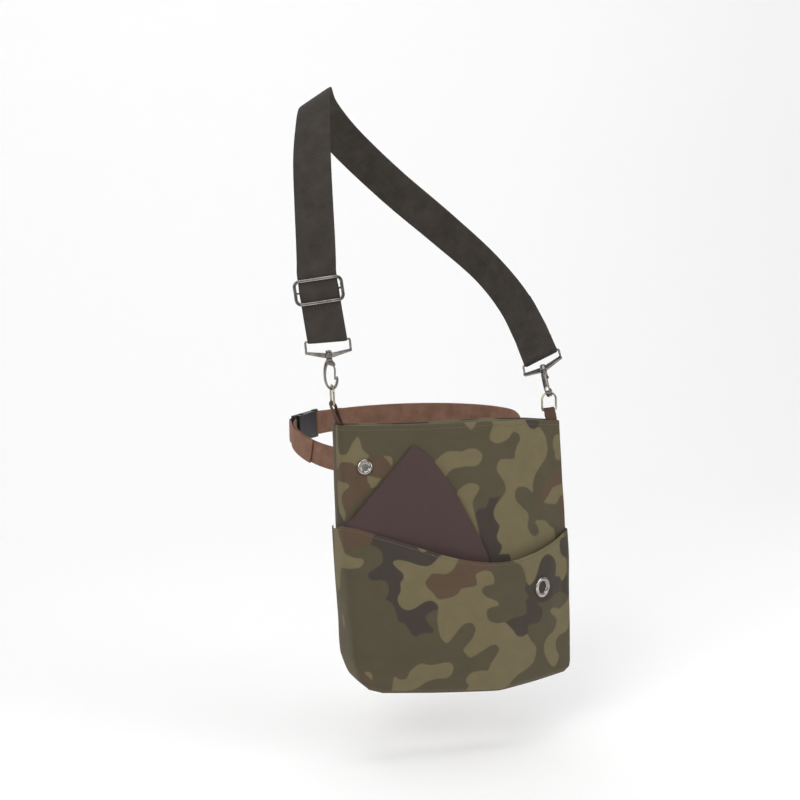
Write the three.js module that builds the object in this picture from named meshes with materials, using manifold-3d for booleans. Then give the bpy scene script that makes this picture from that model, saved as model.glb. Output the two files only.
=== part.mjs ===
// Dog walking bag, worn across the body: camouflage bag, shoulder strap on swivel hooks, waist belt.
// Millimetres. +Z up, +X to the right as seen from in front, the front of the bag faces -Y.
// The origin is where the strap lies on the shoulder.
import * as THREE from 'three';
import { mergeVertices } from 'three/addons/utils/BufferGeometryUtils.js';
import Module from 'manifold-3d';

const wasm = await Module();
wasm.setup();

// Clearances
const gap = 0.3;                 // between pieces that lie on each other
const turnGap = 0.35;            // round a post or pin that turns

// Bag body
const bagWidth = 240;
const bagHeight = 272;
const bagDepth = 60;
const clothWall = 1.6;
const seamRadius = 3.2;          // roundness of the upright seams
const bottomRound = 7;           // roundness where the walls meet the bottom

// Front pocket
const pocketWall = 1.4;
const pocketPuff = 13;           // how far its open edge stands off the body
const pocketBelly = 4.2;         // how much its middle bulges
const pocketEase = 0.5;          // never flat on the body between two levels
const pocketTopLeft = 102;       // depth of the wave below the mouth, at the left end
const pocketTopLow = 140;        // and at its lowest
const pocketTopRight = 113;      // and at the right end
const pocketLowX = 45;           // where it is lowest

// Folded pouch cloth standing in the pocket
const pouchThick = 3;
const pouchApexX = -35;
const pouchApexDrop = 24;
const pouchApexWidth = 8;
const pouchLeftX = -105;         // where its straight edge dips into the pocket
const pouchLeftDrop = 87;
const pouchRightX = 37;          // where its curved edge dips into the pocket
const pouchRightDrop = 140;
const pouchHidden = 40;          // how much of it is inside the pocket
const pouchTaper = 1.1;           // its foot narrows by this for each millimetre down
const pouchStandOff = 3.5;       // how far its curved edge stands off the body

// Metal fittings on the cloth
const studDiameter = 16;
const studHeight = 2.6;
const studPostDiameter = 5;
const studX = -88;
const studDrop = 40;
const eyeletDiameter = 21.4;
const eyeletHole = 11;
const eyeletFlange = 1.3;
const eyeletX = 92;
const eyeletDrop = 173;

// Shoulder strap
const strapWidth = 39.5;
const strapThick = 1.6;
const layerGap = 0.4;

// Swivel frame
const frameInside = 42.4;
const frameRod = 2.3;
const frameBarUp = 15;           // strap bar above the swivel
const frameSideLow = 3.4;        // lower end of the frame's sides above the swivel
const wedgeDeep = 3.2;
const wedgeHigh = 5.6;
const bossDiameter = 7.4;
const bossHeight = 5.6;
const postDiameter = 4;
const postHeadDiameter = 6.6;
const postHeadHigh = 1.8;

// Snap hook
const hookWidth = 14.6;
const hookDrop = 35.5;           // swivel to the lowest point
const hookBand = 2.3;
const hookDeep = 5.6;
const crownHigh = 3.2;
const gateLength = 14.6;
const gateThick = 1.9;
const gateHingeDrop = 9.6;
const gateHingeX = 3.3;
const gatePin = 1.6;
const knuckleRadius = 1.9;
const crownRadius = 3;
const earThick = 1.3;

// D-rings and tabs
const ringWire = 2.2;
const ringInside = 13;
const ringHigh = 19.5;           // between wire centres
const ringCorner = 1.6;
const ringPlay = 1.1;            // its round top rises off the wide band
const tabWidth = 11.7;
const tabThick = 1.3;
const tabInBag = 16;
const tabLegApart = tabThick / 2 + gap;   // each leg's middle from the middle between them

// Slider
const sliderWidth = 50.5;
const sliderHigh = 26.5;
const sliderBand = 3.3;
const sliderDeep = 2.5;
const sliderCorner = 7;
const sliderBar = 2;
const sliderBarBack = 2;         // its middle bar sits behind the band

// Waist belt and buckle
const beltWidth = 25;
const beltThick = 1.6;
const waistHalfWidth = 124;
const waistHalfDepth = 96;
const beltBackHigh = 8;          // its middle above the waist, level behind
const beltLevelTo = 20;          // and falling from here
const beltLowFrom = -93;         // to here in front
const beltFrontDrop = 19;
const beltTail = 62;             // doubled back from the buckle
const buckleLength = 52;
const buckleHigh = 31;
const buckleThick = 9;
const buckleWall = 1.6;
const buckleBar = 3;
const buckleSlot = 3.6;          // webbing slot between an end bar and the body
const endPlateThick = 3.6;
const buckleMouth = -2;          // where the clip enters the socket, from the buckle's middle
const prongReach = 15;
const prongHigh = 3.5;
const loopWidth = 20;
const loopThick = 1.5;
const loopSewn = 9;              // sewn end above and below the belt
const loopRoom = 2.5;            // above and below the belt
const loopSlope = 5;             // over which it goes back to the cloth
const loopX = 38;                // either side of the middle of the waist

// Where things lie on the wearer, from the middle of the waist
const shoulder = { x: -91.7, y: 8, z: 362.2 };
const bagPlace = { x: 13, y: -100, z: 34.5 };

const matte = (color) => new THREE.MeshStandardMaterial({ color, roughness: 0.9, metalness: 0 });
const metal = (color) => new THREE.MeshStandardMaterial({ color, roughness: 0.25, metalness: 1 });
const colours = {
  camo: 0x5f5840, pouch: 0x503f3e, webbing: 0x3a3632, brown: 0x6b4a3e, nickel: 0x9a9896,
  plastic: 0x1b1b1c,
};

const v3 = (x, y, z) => new THREE.Vector3(x, y, z);
const mix = THREE.MathUtils.lerp;
const smooth = (t) => THREE.MathUtils.smoothstep(t, 0, 1);
const deg = THREE.MathUtils.degToRad;

// Named columns of a table, numbers or lists of them, read between its rows: at(rows, 'h', 0.3).left
function at(rows, key, value) {
  let i = 0;
  while (i < rows.length - 2 && value > rows[i + 1][key]) i += 1;
  const [a, b] = [rows[i], rows[i + 1]];
  const t = THREE.MathUtils.clamp((value - a[key]) / (b[key] - a[key]), 0, 1);
  const between = (from, to) => {
    return Array.isArray(from) ? from.map((v, k) => mix(v, to[k], t)) : mix(from, to, t);
  };
  return Object.fromEntries(Object.keys(a).map((name) => [name, between(a[name], b[name])]));
}

// A closed body from rings of equal count, each ring joined to the next
function loft(rings, closed = false) {
  const count = rings[0].length;
  const points = rings.flat();
  const faces = [];
  const spans = closed ? rings.length : rings.length - 1;
  for (let i = 0; i < spans; i += 1) {
    const a = i * count;
    const b = ((i + 1) % rings.length) * count;
    for (let j = 0; j < count; j += 1) {
      const k = (j + 1) % count;
      faces.push(a + j, a + k, b + k, a + j, b + k, b + j);
    }
  }
  if (!closed) {
    const ends = [[rings[0], 0, true], [rings.at(-1), (rings.length - 1) * count, false]];
    for (const [ring, first, flip] of ends) {
      const middle = ring.reduce((sum, p) => sum.add(p), v3(0, 0, 0)).divideScalar(count);
      const c = points.push(middle) - 1;
      for (let j = 0; j < count; j += 1) {
        const k = (j + 1) % count;
        faces.push(...(flip ? [c, first + k, first + j] : [c, first + j, first + k]));
      }
    }
  }
  return outward(points, faces);
}

// A panel between two grids of points, closed along its four edges
function panel(front, back) {
  const rows = front.length;
  const columns = front[0].length;
  const points = [...front.flat(), ...back.flat()];
  const half = rows * columns;
  const faces = [];
  const quad = (a, b, c, d) => faces.push(a, b, c, a, c, d);
  for (let i = 0; i < rows - 1; i += 1) {
    for (let j = 0; j < columns - 1; j += 1) {
      const a = i * columns + j;
      quad(a, a + columns, a + columns + 1, a + 1);
      quad(half + a, half + a + 1, half + a + columns + 1, half + a + columns);
    }
  }
  for (let i = 0; i < rows - 1; i += 1) {
    const a = i * columns;
    const b = a + columns - 1;
    quad(a, half + a, half + a + columns, a + columns);
    quad(b, b + columns, half + b + columns, half + b);
  }
  for (let j = 0; j < columns - 1; j += 1) {
    const a = j;
    const b = (rows - 1) * columns + j;
    quad(a, a + 1, half + a + 1, half + a);
    quad(b, half + b, half + b + 1, b + 1);
  }
  return outward(points, faces);
}

// Geometry with its faces pointing out
function outward(points, faces) {
  let volume = 0;
  for (let i = 0; i < faces.length; i += 3) {
    const [a, b, c] = [points[faces[i]], points[faces[i + 1]], points[faces[i + 2]]];
    volume += a.dot(v3(0, 0, 0).crossVectors(b, c));
  }
  if (volume < 0) {
    for (let i = 0; i < faces.length; i += 3) [faces[i], faces[i + 1]] = [faces[i + 1], faces[i]];
  }
  const geometry = new THREE.BufferGeometry();
  const numbers = points.flatMap((p) => [p.x, p.y, p.z]);
  geometry.setAttribute('position', new THREE.Float32BufferAttribute(numbers, 3));
  geometry.setIndex(faces);
  return geometry;
}

function solid(geometry) {
  const g = geometry.clone();
  g.deleteAttribute('normal');
  g.deleteAttribute('uv');
  const merged = mergeVertices(g, 1e-4);
  return new wasm.Manifold(new wasm.Mesh({
    numProp: 3,
    vertProperties: new Float32Array(merged.attributes.position.array),
    triVerts: new Uint32Array(merged.index.array),
  }));
}

function geometryOf(body) {
  const mesh = body.getMesh();
  const geometry = new THREE.BufferGeometry();
  geometry.setAttribute('position', new THREE.BufferAttribute(new Float32Array(mesh.vertProperties), 3));
  geometry.setIndex(Array.from(mesh.triVerts));
  return geometry;
}

function join(...geometries) {
  let body = solid(geometries[0]);
  for (const g of geometries.slice(1)) body = body.add(solid(g));
  return geometryOf(body);
}

function cut(geometry, ...tools) {
  let body = solid(geometry);
  for (const g of tools) body = body.subtract(solid(g));
  return geometryOf(body);
}

// A round bar standing along Z, its lower face at z
function pin(radius, length, x = 0, y = 0, z = 0, sides = 16) {
  return new THREE.CylinderGeometry(radius, radius, length, sides).rotateX(Math.PI / 2)
    .translate(x, y, z + length / 2);
}

// A bar swept along a path that lies in a plane: halfWide across the plane, halfThick in it
function sweep(path, planeNormal, size, closed = false, sides = 8) {
  const rings = path.map((p, i) => {
    const before = path[closed ? (i + path.length - 1) % path.length : Math.max(i - 1, 0)];
    const after = path[closed ? (i + 1) % path.length : Math.min(i + 1, path.length - 1)];
    const along = after.clone().sub(before).normalize();
    const across = v3(0, 0, 0).crossVectors(planeNormal, along).normalize();
    const here = typeof size === 'function' ? size(i / (path.length - 1)) : size;
    const { halfWide, halfThick, square = 0.5 } = here;
    return sectionOf(sides, halfWide, halfThick, square)
      .map(([a, b]) => p.clone().addScaledVector(planeNormal, a).addScaledVector(across, b));
  });
  return loft(rings, closed);
}

// An oval or a rectangle with cut corners, as pairs of shares of its half sizes
function sectionOf(sides, a, b, square) {
  if (square > 0.5) {
    const c = Math.min(a, b) * 0.35;
    return [
      [a, b - c], [a - c, b], [c - a, b], [-a, b - c],
      [-a, c - b], [c - a, -b], [a - c, -b], [a, c - b],
    ];
  }
  return Array.from({ length: sides }, (_, i) => {
    const t = ((i + 0.5) / sides) * 2 * Math.PI;
    return [a * Math.cos(t), b * Math.sin(t)];
  });
}

// Corners of a path rounded by arcs of the given radius; all in the XZ plane
function rounded(corners, radius, closed = true, steps = 4) {
  const out = [];
  corners.forEach((corner, i) => {
    const before = corners[(i + corners.length - 1) % corners.length];
    const after = corners[(i + 1) % corners.length];
    if (!closed && (i === 0 || i === corners.length - 1)) {
      out.push(corner.clone());
      return;
    }
    const a = before.clone().sub(corner).normalize();
    const b = after.clone().sub(corner).normalize();
    const half = Math.acos(THREE.MathUtils.clamp(a.dot(b), -1, 1)) / 2;
    const back = radius / Math.tan(half);
    const start = corner.clone().addScaledVector(a, back);
    const end = corner.clone().addScaledVector(b, back);
    const centre = corner.clone().addScaledVector(a.clone().add(b).normalize(), radius / Math.sin(half));
    for (let k = 0; k <= steps; k += 1) {
      const chord = start.clone().lerp(end, k / steps).sub(centre).setLength(radius);
      out.push(centre.clone().add(chord));
    }
  });
  return out;
}

// Flat webbing along stations of { at, across }; across is the direction of its width, of length 1
function ribbon(stations, width, thick, closed = false) {
  const last = stations.length - 1;
  const rings = stations.map((s, i) => {
    const before = stations[closed ? (i + last) % (last + 1) : Math.max(i - 1, 0)].at;
    const after = stations[closed ? (i + 1) % (last + 1) : Math.min(i + 1, last)].at;
    const along = after.clone().sub(before).normalize();
    const face = v3(0, 0, 0).crossVectors(along, s.across).normalize();
    const corner = (a, b) => s.at.clone().addScaledVector(s.across, a * width / 2)
      .addScaledVector(face, b * thick / 2);
    return [corner(-1, -1), corner(1, -1), corner(1, 1), corner(-1, 1)];
  });
  return loft(rings, closed);
}

const worn = new THREE.Group();
worn.position.set(-shoulder.x, -shoulder.y, -shoulder.z);
function add(name, geometry, material, parent = worn) {
  const mesh = new THREE.Mesh(geometry, material);
  mesh.name = name;
  parent.add(mesh);
  return mesh;
}

// The bag. [x, y] of its upright corners at levels h below the mouth, as shares of half its width and of
// its depth: left seam, front left bend, the front's crease, right bend and right seam.
const bagLevels = [
  {
    h: 0, left: [-0.975, -0.02], bend: [-0.925, -0.3], crease: [0.42, -0.34],
    turn: [1.085, 0.17], right: [1.075, 0.31], backBow: -0.14,
  },
  {
    h: 0.25, left: [-0.975, -0.05], bend: [-0.92, -0.52], crease: [0.44, -0.6],
    turn: [1.085, 0], right: [1.08, 0.22], backBow: -0.08,
  },
  {
    h: 0.5, left: [-0.965, -0.08], bend: [-0.91, -0.7], crease: [0.42, -0.82],
    turn: [1.09, -0.16], right: [1.085, 0.12], backBow: -0.02,
  },
  {
    h: 0.75, left: [-0.95, -0.1], bend: [-0.895, -0.84], crease: [0.39, -0.96],
    turn: [1.085, -0.28], right: [1.08, 0.02], backBow: 0.03,
  },
  {
    h: 0.9, left: [-0.93, -0.12], bend: [-0.87, -0.9], crease: [0.37, -1],
    turn: [1.07, -0.34], right: [1.06, -0.04], backBow: 0.03,
  },
  {
    h: 1, left: [-0.8, -0.16], bend: [-0.76, -0.88], crease: [0.36, -1],
    turn: [1.02, -0.38], right: [1.01, -0.1], backBow: 0,
  },
];
// Height of the mouth and of the bottom edge across the bag, as shares of its half width and height
const bagEdges = [
  { x: -1, mouth: 0.004, bottom: -0.945 },
  { x: -0.7, mouth: 0.003, bottom: -0.962 },
  { x: -0.2, mouth: 0, bottom: -0.99 },
  { x: 0.35, mouth: -0.004, bottom: -1.008 },
  { x: 0.75, mouth: -0.02, bottom: -1.006 },
  { x: 1.1, mouth: -0.045, bottom: -1.0 },
];
const faceSteps = { left: 4, frontLeft: 14, frontRight: 8, right: 3, back: 14 };

function heightAt(x, h) {
  const edge = at(bagEdges, 'x', x / (bagWidth / 2));
  return bagHeight * mix(edge.mouth, edge.bottom, h);
}

// The bag's outline at level h: points with a face name, from the left seam round the front to the back
function bagRing(h, grow = 0) {
  const level = at(bagLevels, 'h', h);
  const corners = [level.left, level.bend, level.crease, level.turn, level.right]
    .map(([x, y]) => new THREE.Vector2(x * bagWidth / 2, y * bagDepth));
  // bulge of each face, and how it runs between its corners
  const belly = Math.sin(Math.PI * Math.min(h * 1.1, 1));
  const faces = [
    { steps: faceSteps.left, bulge: 1.2 * belly },
    { steps: faceSteps.frontLeft, bulge: 1 + 2.5 * belly },
    { steps: faceSteps.frontRight, bulge: 0.6 + 1.6 * belly },
    { steps: faceSteps.right, bulge: 0.6 * belly },
    { steps: faceSteps.back, bulge: level.backBow * bagDepth },
  ];
  const points = [];
  faces.forEach((face, i) => {
    const a = corners[i];
    const b = corners[(i + 1) % corners.length];
    const along = b.clone().sub(a);
    const length = along.length();
    const out = new THREE.Vector2(along.y, -along.x).divideScalar(length);
    const inset = Math.min(seamRadius, length * 0.2) / length;
    for (let k = 0; k <= face.steps; k += 1) {
      const t = mix(inset, 1 - inset, k / face.steps);
      const s = face.bulge * Math.sin(Math.PI * t);
      points.push(a.clone().addScaledVector(along, t).addScaledVector(out, s));
    }
  });
  return points.map((p, i) => {
    const before = points[(i + points.length - 1) % points.length];
    const after = points[(i + 1) % points.length];
    const along = after.clone().sub(before).normalize();
    const moved = p.clone().add(new THREE.Vector2(along.y, -along.x).multiplyScalar(grow));
    return v3(moved.x, moved.y, heightAt(p.x, h));
  });
}

// Rings of the shell from the mouth to the floor; the bottom edge is rounded inwards
function shellRings(grow, lift) {
  const upright = [0, 0.06, 0.14, 0.23, 0.33, 0.43, 0.53, 0.63, 0.73, 0.82, 0.89, 0.945];
  const rings = upright.map((h) => bagRing(h, grow));
  const roundRows = [{ t: 30, h: 0.975 }, { t: 60, h: 0.992 }, { t: 90, h: 1 }];
  for (const row of roundRows) {
    const pull = bottomRound * (1 - Math.cos(deg(row.t)));
    rings.push(bagRing(row.h, grow - pull).map((p) => p.add(v3(0, 0, lift * Math.sin(deg(row.t))))));
  }
  return rings;
}

const bag = new THREE.Group();
bag.position.set(bagPlace.x, bagPlace.y, bagPlace.z);
worn.add(bag);

// A point on the body's outside at level h, t from 0 at the left seam to 1 at the right seam
const frontCount = faceSteps.left + faceSteps.frontLeft + faceSteps.frontRight + faceSteps.right + 4;
function onFront(h, t, grow) {
  const ring = bagRing(h, grow);
  const s = t * (frontCount - 1);
  const i = Math.min(Math.floor(s), frontCount - 2);
  return ring[i].clone().lerp(ring[i + 1], s - i);
}

// The body's outside at a place on its front given by x and depth below the mouth
function frontAt(x, drop, grow) {
  let h = drop / bagHeight;
  for (let k = 0; k < 4; k += 1) h += (heightAt(x, h) + drop) / bagHeight;
  let [low, high] = [0, 1];
  for (let k = 0; k < 24; k += 1) {
    const t = (low + high) / 2;
    if (onFront(h, t, grow).x < x) low = t;
    else high = t;
  }
  const p = onFront(h, low, grow);
  const before = onFront(h, Math.max(low - 0.03, 0), grow);
  const side = onFront(h, Math.min(low + 0.03, 1), grow).sub(before).normalize();
  const down = onFront(h + 0.02, low, grow).sub(onFront(h - 0.02, low, grow)).normalize();
  return { p, normal: v3(0, 0, 0).crossVectors(down, side).normalize(), side, h, t: low };
}

// A group whose +Z stands out from the cloth at p
function seatedOn(p, normal) {
  const group = new THREE.Group();
  group.position.copy(p);
  group.quaternion.setFromUnitVectors(v3(0, 0, 1), normal);
  group.updateMatrix();
  return group;
}

const outerShell = shellRings(0, 0);
const innerShell = shellRings(-clothWall, clothWall);
const bodyShell = loft([...innerShell.toReversed(), ...outerShell]);

// Press stud: cap outside, post through the cloth, washer inside
const studSpot = frontAt(studX, studDrop, 0);
const studSeat = seatedOn(studSpot.p, studSpot.normal);
const throughCloth = 12;          // length of a cut that goes right through a wall
const studPostHole = pin(studPostDiameter / 2 + gap, throughCloth, 0, 0, -throughCloth / 2)
  .applyMatrix4(studSeat.matrix);
add('bag_body', cut(bodyShell, studPostHole), matte(colours.camo), bag);

const washerBack = -clothWall - gap - 1.4;
const studProfile = [
  [0, washerBack], [studDiameter * 0.36, washerBack], [studDiameter * 0.36, -clothWall - gap],
  [studPostDiameter / 2, -clothWall - gap], [studPostDiameter / 2, gap], [studDiameter / 2 - 0.5, gap],
  [studDiameter / 2, gap + 0.7], [studDiameter / 2 - 0.8, studHeight * 0.85],
  [studDiameter / 2 - 2, studHeight], [studDiameter / 2 - 3.2, studHeight * 0.8],
  [studDiameter / 2 - 3.8, studHeight * 0.45], [0, studHeight * 0.45],
].map(([r, z]) => new THREE.Vector2(r, z));
bag.add(studSeat);
const stud = new THREE.LatheGeometry(studProfile, 20).rotateX(Math.PI / 2);
add('press_stud', stud, metal(colours.nickel), studSeat);

// Pocket: its top edge is a wave, it is sewn to the body at the seams and the bottom
function pocketTop(x) {
  if (x < pocketLowX) {
    const t = (x + bagWidth / 2) / (pocketLowX + bagWidth / 2);
    return mix(pocketTopLeft, pocketTopLow, smooth(t) * 0.75 + t * 0.25);
  }
  return mix(pocketTopLow, pocketTopRight, smooth((x - pocketLowX) / (bagWidth * 0.533 - pocketLowX)));
}
function pocketStand(x, down) {
  const across = Math.sin(Math.PI * THREE.MathUtils.clamp((x / (bagWidth / 2) + 1.02) / 2.1, 0, 1));
  const puff = pocketPuff * across ** 0.8 * (1 - down) ** 1.3;
  return pocketEase + puff + pocketBelly * across * Math.sin(Math.PI * down);
}
const pocketRows = 11;
const pocketFoot = 0.935;         // its seam, as a share of the bag's height
function pocketPoint(i, j, grow) {
  const t = j / (frontCount - 1);
  const down = i / (pocketRows - 1);
  const x = onFront(0.5, t, 0).x;
  const top = pocketTop(x) / bagHeight;
  const h = mix(top, pocketFoot, down);
  return onFront(h, t, grow + pocketStand(x, down));
}
const pocketGrid = (grow) => Array.from({ length: pocketRows }, (_, i) => (
  Array.from({ length: frontCount }, (_, j) => pocketPoint(i, j, grow))));
const pocketSheet = panel(pocketGrid(gap + pocketWall), pocketGrid(gap));

// Eyelet in the pocket: flange outside, barrel, washer inside
function pocketSpot(x, drop) {
  let best = null;
  for (let i = 0; i < pocketRows * 8; i += 1) {
    for (let j = 0; j < (frontCount - 1) * 8; j += 1) {
      const p = pocketPoint(i / 8, j / 8, gap + pocketWall);
      const far = (p.x - x) ** 2 + (p.z + drop) ** 2;
      if (!best || far < best.far) best = { far, p, i: i / 8, j: j / 8 };
    }
  }
  const { i, j } = best;
  const side = pocketPoint(i, j + 1, gap).sub(pocketPoint(i, j - 1, gap)).normalize();
  const down = pocketPoint(i + 1, j, gap).sub(pocketPoint(i - 1, j, gap)).normalize();
  return { p: best.p, normal: v3(0, 0, 0).crossVectors(down, side).normalize() };
}
const eyeletSpot = pocketSpot(eyeletX, eyeletDrop);
const eyeletSeat = seatedOn(eyeletSpot.p, eyeletSpot.normal);
const barrelRadius = eyeletHole / 2 + 0.9;
const eyeletCut = pin(barrelRadius + gap, throughCloth, 0, 0, -throughCloth / 2, 24)
  .applyMatrix4(eyeletSeat.matrix);
add('front_pocket', cut(pocketSheet, eyeletCut), matte(colours.camo), bag);
const curveRoom = 0.5;            // the cloth curves under the flat flange
const flangeFront = gap + curveRoom;
const flangeBack = -pocketWall - flangeFront;
const eyeletProfile = [
  [eyeletHole / 2, flangeBack - 0.8], [eyeletDiameter / 2 - 2.2, flangeBack - 0.8],
  [eyeletDiameter / 2 - 2.2, flangeBack], [barrelRadius, flangeBack], [barrelRadius, flangeFront],
  [eyeletDiameter / 2, flangeFront], [eyeletDiameter / 2 - 0.7, flangeFront + 0.6 * eyeletFlange],
  [eyeletDiameter / 2 - 2.6, flangeFront + eyeletFlange],
  [eyeletHole / 2 + 0.6, flangeFront + 0.7 * eyeletFlange],
  [eyeletHole / 2, 2 * gap], [eyeletHole / 2, flangeBack - 0.8],
].map(([r, z]) => new THREE.Vector2(r, z));
bag.add(eyeletSeat);
const eyelet = new THREE.LatheGeometry(eyeletProfile, 28).rotateX(Math.PI / 2);
add('eyelet', eyelet, metal(colours.nickel), eyeletSeat);

// Folded pouch cloth: straight left edge, curved right edge, its foot inside the pocket
function pouchEdges(drop) {
  const span = pouchLeftDrop - pouchApexDrop;
  const straight = mix(pouchApexX - pouchApexWidth / 2, pouchLeftX, (drop - pouchApexDrop) / span);
  const below = Math.max(0, drop - pouchLeftDrop);
  const left = Math.max(straight, pouchLeftX) + below * pouchTaper;
  const t = (drop - pouchApexDrop) / (pouchRightDrop - pouchApexDrop);
  const curve = Math.max(t, 0) ** 0.72;
  const inward = Math.max(0, t - 1) * 30;
  const right = mix(pouchApexX + pouchApexWidth / 2, pouchRightX, Math.min(curve, 1)) - inward;
  return { left, right };
}
const pouchRows = 14;
const pouchColumns = 12;
function pouchGrid(grow) {
  const bottom = pouchRightDrop + pouchHidden;
  return Array.from({ length: pouchRows }, (_, i) => {
    const drop = mix(pouchApexDrop, bottom, i / (pouchRows - 1));
    const { left, right } = pouchEdges(drop);
    return Array.from({ length: pouchColumns }, (_, j) => {
      const t = j / (pouchColumns - 1);
      const x = mix(left, right, t);
      const ends = smooth((drop - pouchApexDrop) / 60) * smooth((bottom - drop) / 70);
      return frontAt(x, drop, gap + pouchStandOff * mix(0.15, 1, t) * ends + grow).p;
    });
  });
}
add('pouch_flap', panel(pouchGrid(pouchThick), pouchGrid(0)), matte(colours.pouch), bag);

// Frame, hook, gate and ring of each strap end. up points from the hook to the strap.
function placed(origin, up, across) {
  const z = up.clone().normalize();
  const x = across.clone().addScaledVector(z, -across.dot(z)).normalize();
  const y = v3(0, 0, 0).crossVectors(z, x);
  const group = new THREE.Group();
  group.position.copy(origin);
  group.quaternion.setFromRotationMatrix(new THREE.Matrix4().makeBasis(x, y, z));
  group.updateMatrix();
  return group;
}
const yAxis = v3(0, 1, 0);

function swivelFrame() {
  const side = frameInside / 2 + frameRod / 2;
  const corners = [[-side, frameSideLow], [-side, frameBarUp], [side, frameBarUp], [side, frameSideLow]];
  const loop = rounded(corners.map(([x, z]) => v3(x, 0, z)), 2, false, 3);
  const rod = sweep(loop, yAxis, { halfWide: frameRod / 2, halfThick: frameRod / 2 });
  const wedge = (s) => {
    const inBoss = bossDiameter / 2 - 1;
    const shape = new THREE.Shape([
      [side + frameRod / 2, frameSideLow + 1.6], [side + frameRod / 2, frameSideLow - 0.6],
      [inBoss, -wedgeHigh / 2], [inBoss, wedgeHigh / 2 - 0.6],
    ].map(([x, z]) => new THREE.Vector2(s * x, z)));
    return new THREE.ExtrudeGeometry(shape, { depth: wedgeDeep, bevelEnabled: false })
      .translate(0, 0, -wedgeDeep / 2).rotateX(Math.PI / 2);
  };
  const boss = pin(bossDiameter / 2, bossHeight, 0, 0, -bossHeight / 2, 16);
  const bore = pin(postDiameter / 2 + turnGap, bossHeight + 2, 0, 0, -bossHeight / 2 - 1, 16);
  return cut(join(rod, wedge(1), wedge(-1), boss), bore);
}

// Middle line of the hook's band: round the bottom from the nose up to the crown
const hookTop = -(bossHeight / 2 + turnGap + crownHigh * 0.5);
const gateEnd = v3(hookWidth / 2 - hookBand / 2 - 0.25, 0, -gateHingeDrop - gateLength);
function hookPath() {
  const half = hookWidth / 2 - hookBand / 2;
  const low = -hookDrop + hookBand / 2;
  const widest = mix(hookTop, low, 0.62);
  const points = [v3(half, 0, Math.max(gateEnd.z + 0.2, widest + 0.6))];
  const steps = 12;
  for (let k = 1; k <= steps; k += 1) {
    const a = (k / steps) * Math.PI;
    points.push(v3(half * Math.cos(a), 0, widest - (widest - low) * Math.sin(a)));
  }
  points.push(v3(-half * 0.97, 0, mix(widest, hookTop, 0.3)), v3(-half * 0.8, 0, mix(widest, hookTop, 0.6)),
    v3(-half * 0.5, 0, mix(widest, hookTop, 0.85)), v3(-half * 0.1, 0, hookTop));
  return points;
}
function hookBody() {
  const band = sweep(hookPath(), yAxis, (t) => ({
    halfWide: hookDeep / 2, halfThick: hookBand / 2 * (1 + 0.5 * smooth((t - 0.75) * 4)), square: 1 }));
  const crownBottom = -(bossHeight / 2 + turnGap + crownHigh);
  const crown = pin(crownRadius, crownHigh, 0, 0, crownBottom, 12);
  const postHalf = bossHeight / 2 + turnGap;
  const post = pin(postDiameter / 2, 2 * postHalf + 1, 0, 0, -postHalf - 0.5, 16);
  const head = pin(postHeadDiameter / 2, postHeadHigh, 0, 0, postHalf, 16);
  const earShape = new THREE.Shape([
    [-3.4, crownBottom + 1.4], [2.6, crownBottom + 1.4], [gateHingeX + knuckleRadius, -gateHingeDrop + 0.9],
    [gateHingeX + knuckleRadius, -gateHingeDrop - 1.3], [gateHingeX - 0.8, -gateHingeDrop - knuckleRadius],
    [-2.4, -gateHingeDrop + 0.4],
  ].map(([x, z]) => new THREE.Vector2(x, z)));
  const ear = (y) => new THREE.ExtrudeGeometry(earShape, { depth: earThick, bevelEnabled: false })
    .rotateX(Math.PI / 2).translate(0, y, 0);
  const hinge = new THREE.CylinderGeometry(gatePin / 2, gatePin / 2, hookDeep, 10)
    .translate(gateHingeX, 0, -gateHingeDrop);
  return join(band, crown, post, head, ear(hookDeep / 2), ear(-hookDeep / 2 + earThick), hinge);
}
// The gate turns about its pin; its own origin is on the pin
function gate() {
  const deep = hookDeep - 2 * earThick - 2 * gap;
  const toEnd = gateEnd.clone().sub(v3(gateHingeX, 0, -gateHingeDrop));
  const inside = -(hookBand + gateThick) / 2 - 0.05;   // its end rests inside the hook's nose
  const path = [
    { share: 0, x: 0, z: 0 }, { share: 0.35, x: 0.35, z: 0 }, { share: 0.7, x: -0.9, z: 0 },
    { share: 1, x: inside, z: -1.2 },
  ].map((row) => toEnd.clone().multiplyScalar(row.share).add(v3(row.x, 0, row.z)));
  const blade = sweep(path, yAxis, (t) => ({
    halfWide: deep / 2, halfThick: gateThick / 2 * (1 - 0.25 * t), square: 1 }));
  const knuckle = new THREE.CylinderGeometry(knuckleRadius, knuckleRadius, deep, 14);
  const bore = new THREE.CylinderGeometry(gatePin / 2 + turnGap, gatePin / 2 + turnGap, deep + 2, 14);
  return cut(join(blade, knuckle), bore);
}
// Ring: straight bar in the tab, round top over the hook
function dRing() {
  const half = ringInside / 2 + ringWire / 2;
  const arcTop = ringHigh - half;
  const cut = ringCorner * 0.28;
  const path = [
    v3(-half + ringCorner, 0, 0), v3(half - ringCorner, 0, 0),
    v3(half - cut, 0, cut), v3(half, 0, ringCorner),
  ];
  const steps = 10;
  for (let k = 0; k <= steps; k += 1) {
    const a = (k / steps) * Math.PI;
    path.push(v3(half * Math.cos(a), 0, arcTop + half * Math.sin(a)));
  }
  path.push(v3(-half, 0, ringCorner), v3(-half + cut, 0, cut));
  return sweep(path, yAxis, { halfWide: ringWire / 2, halfThick: ringWire / 2 }, true);
}
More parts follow.
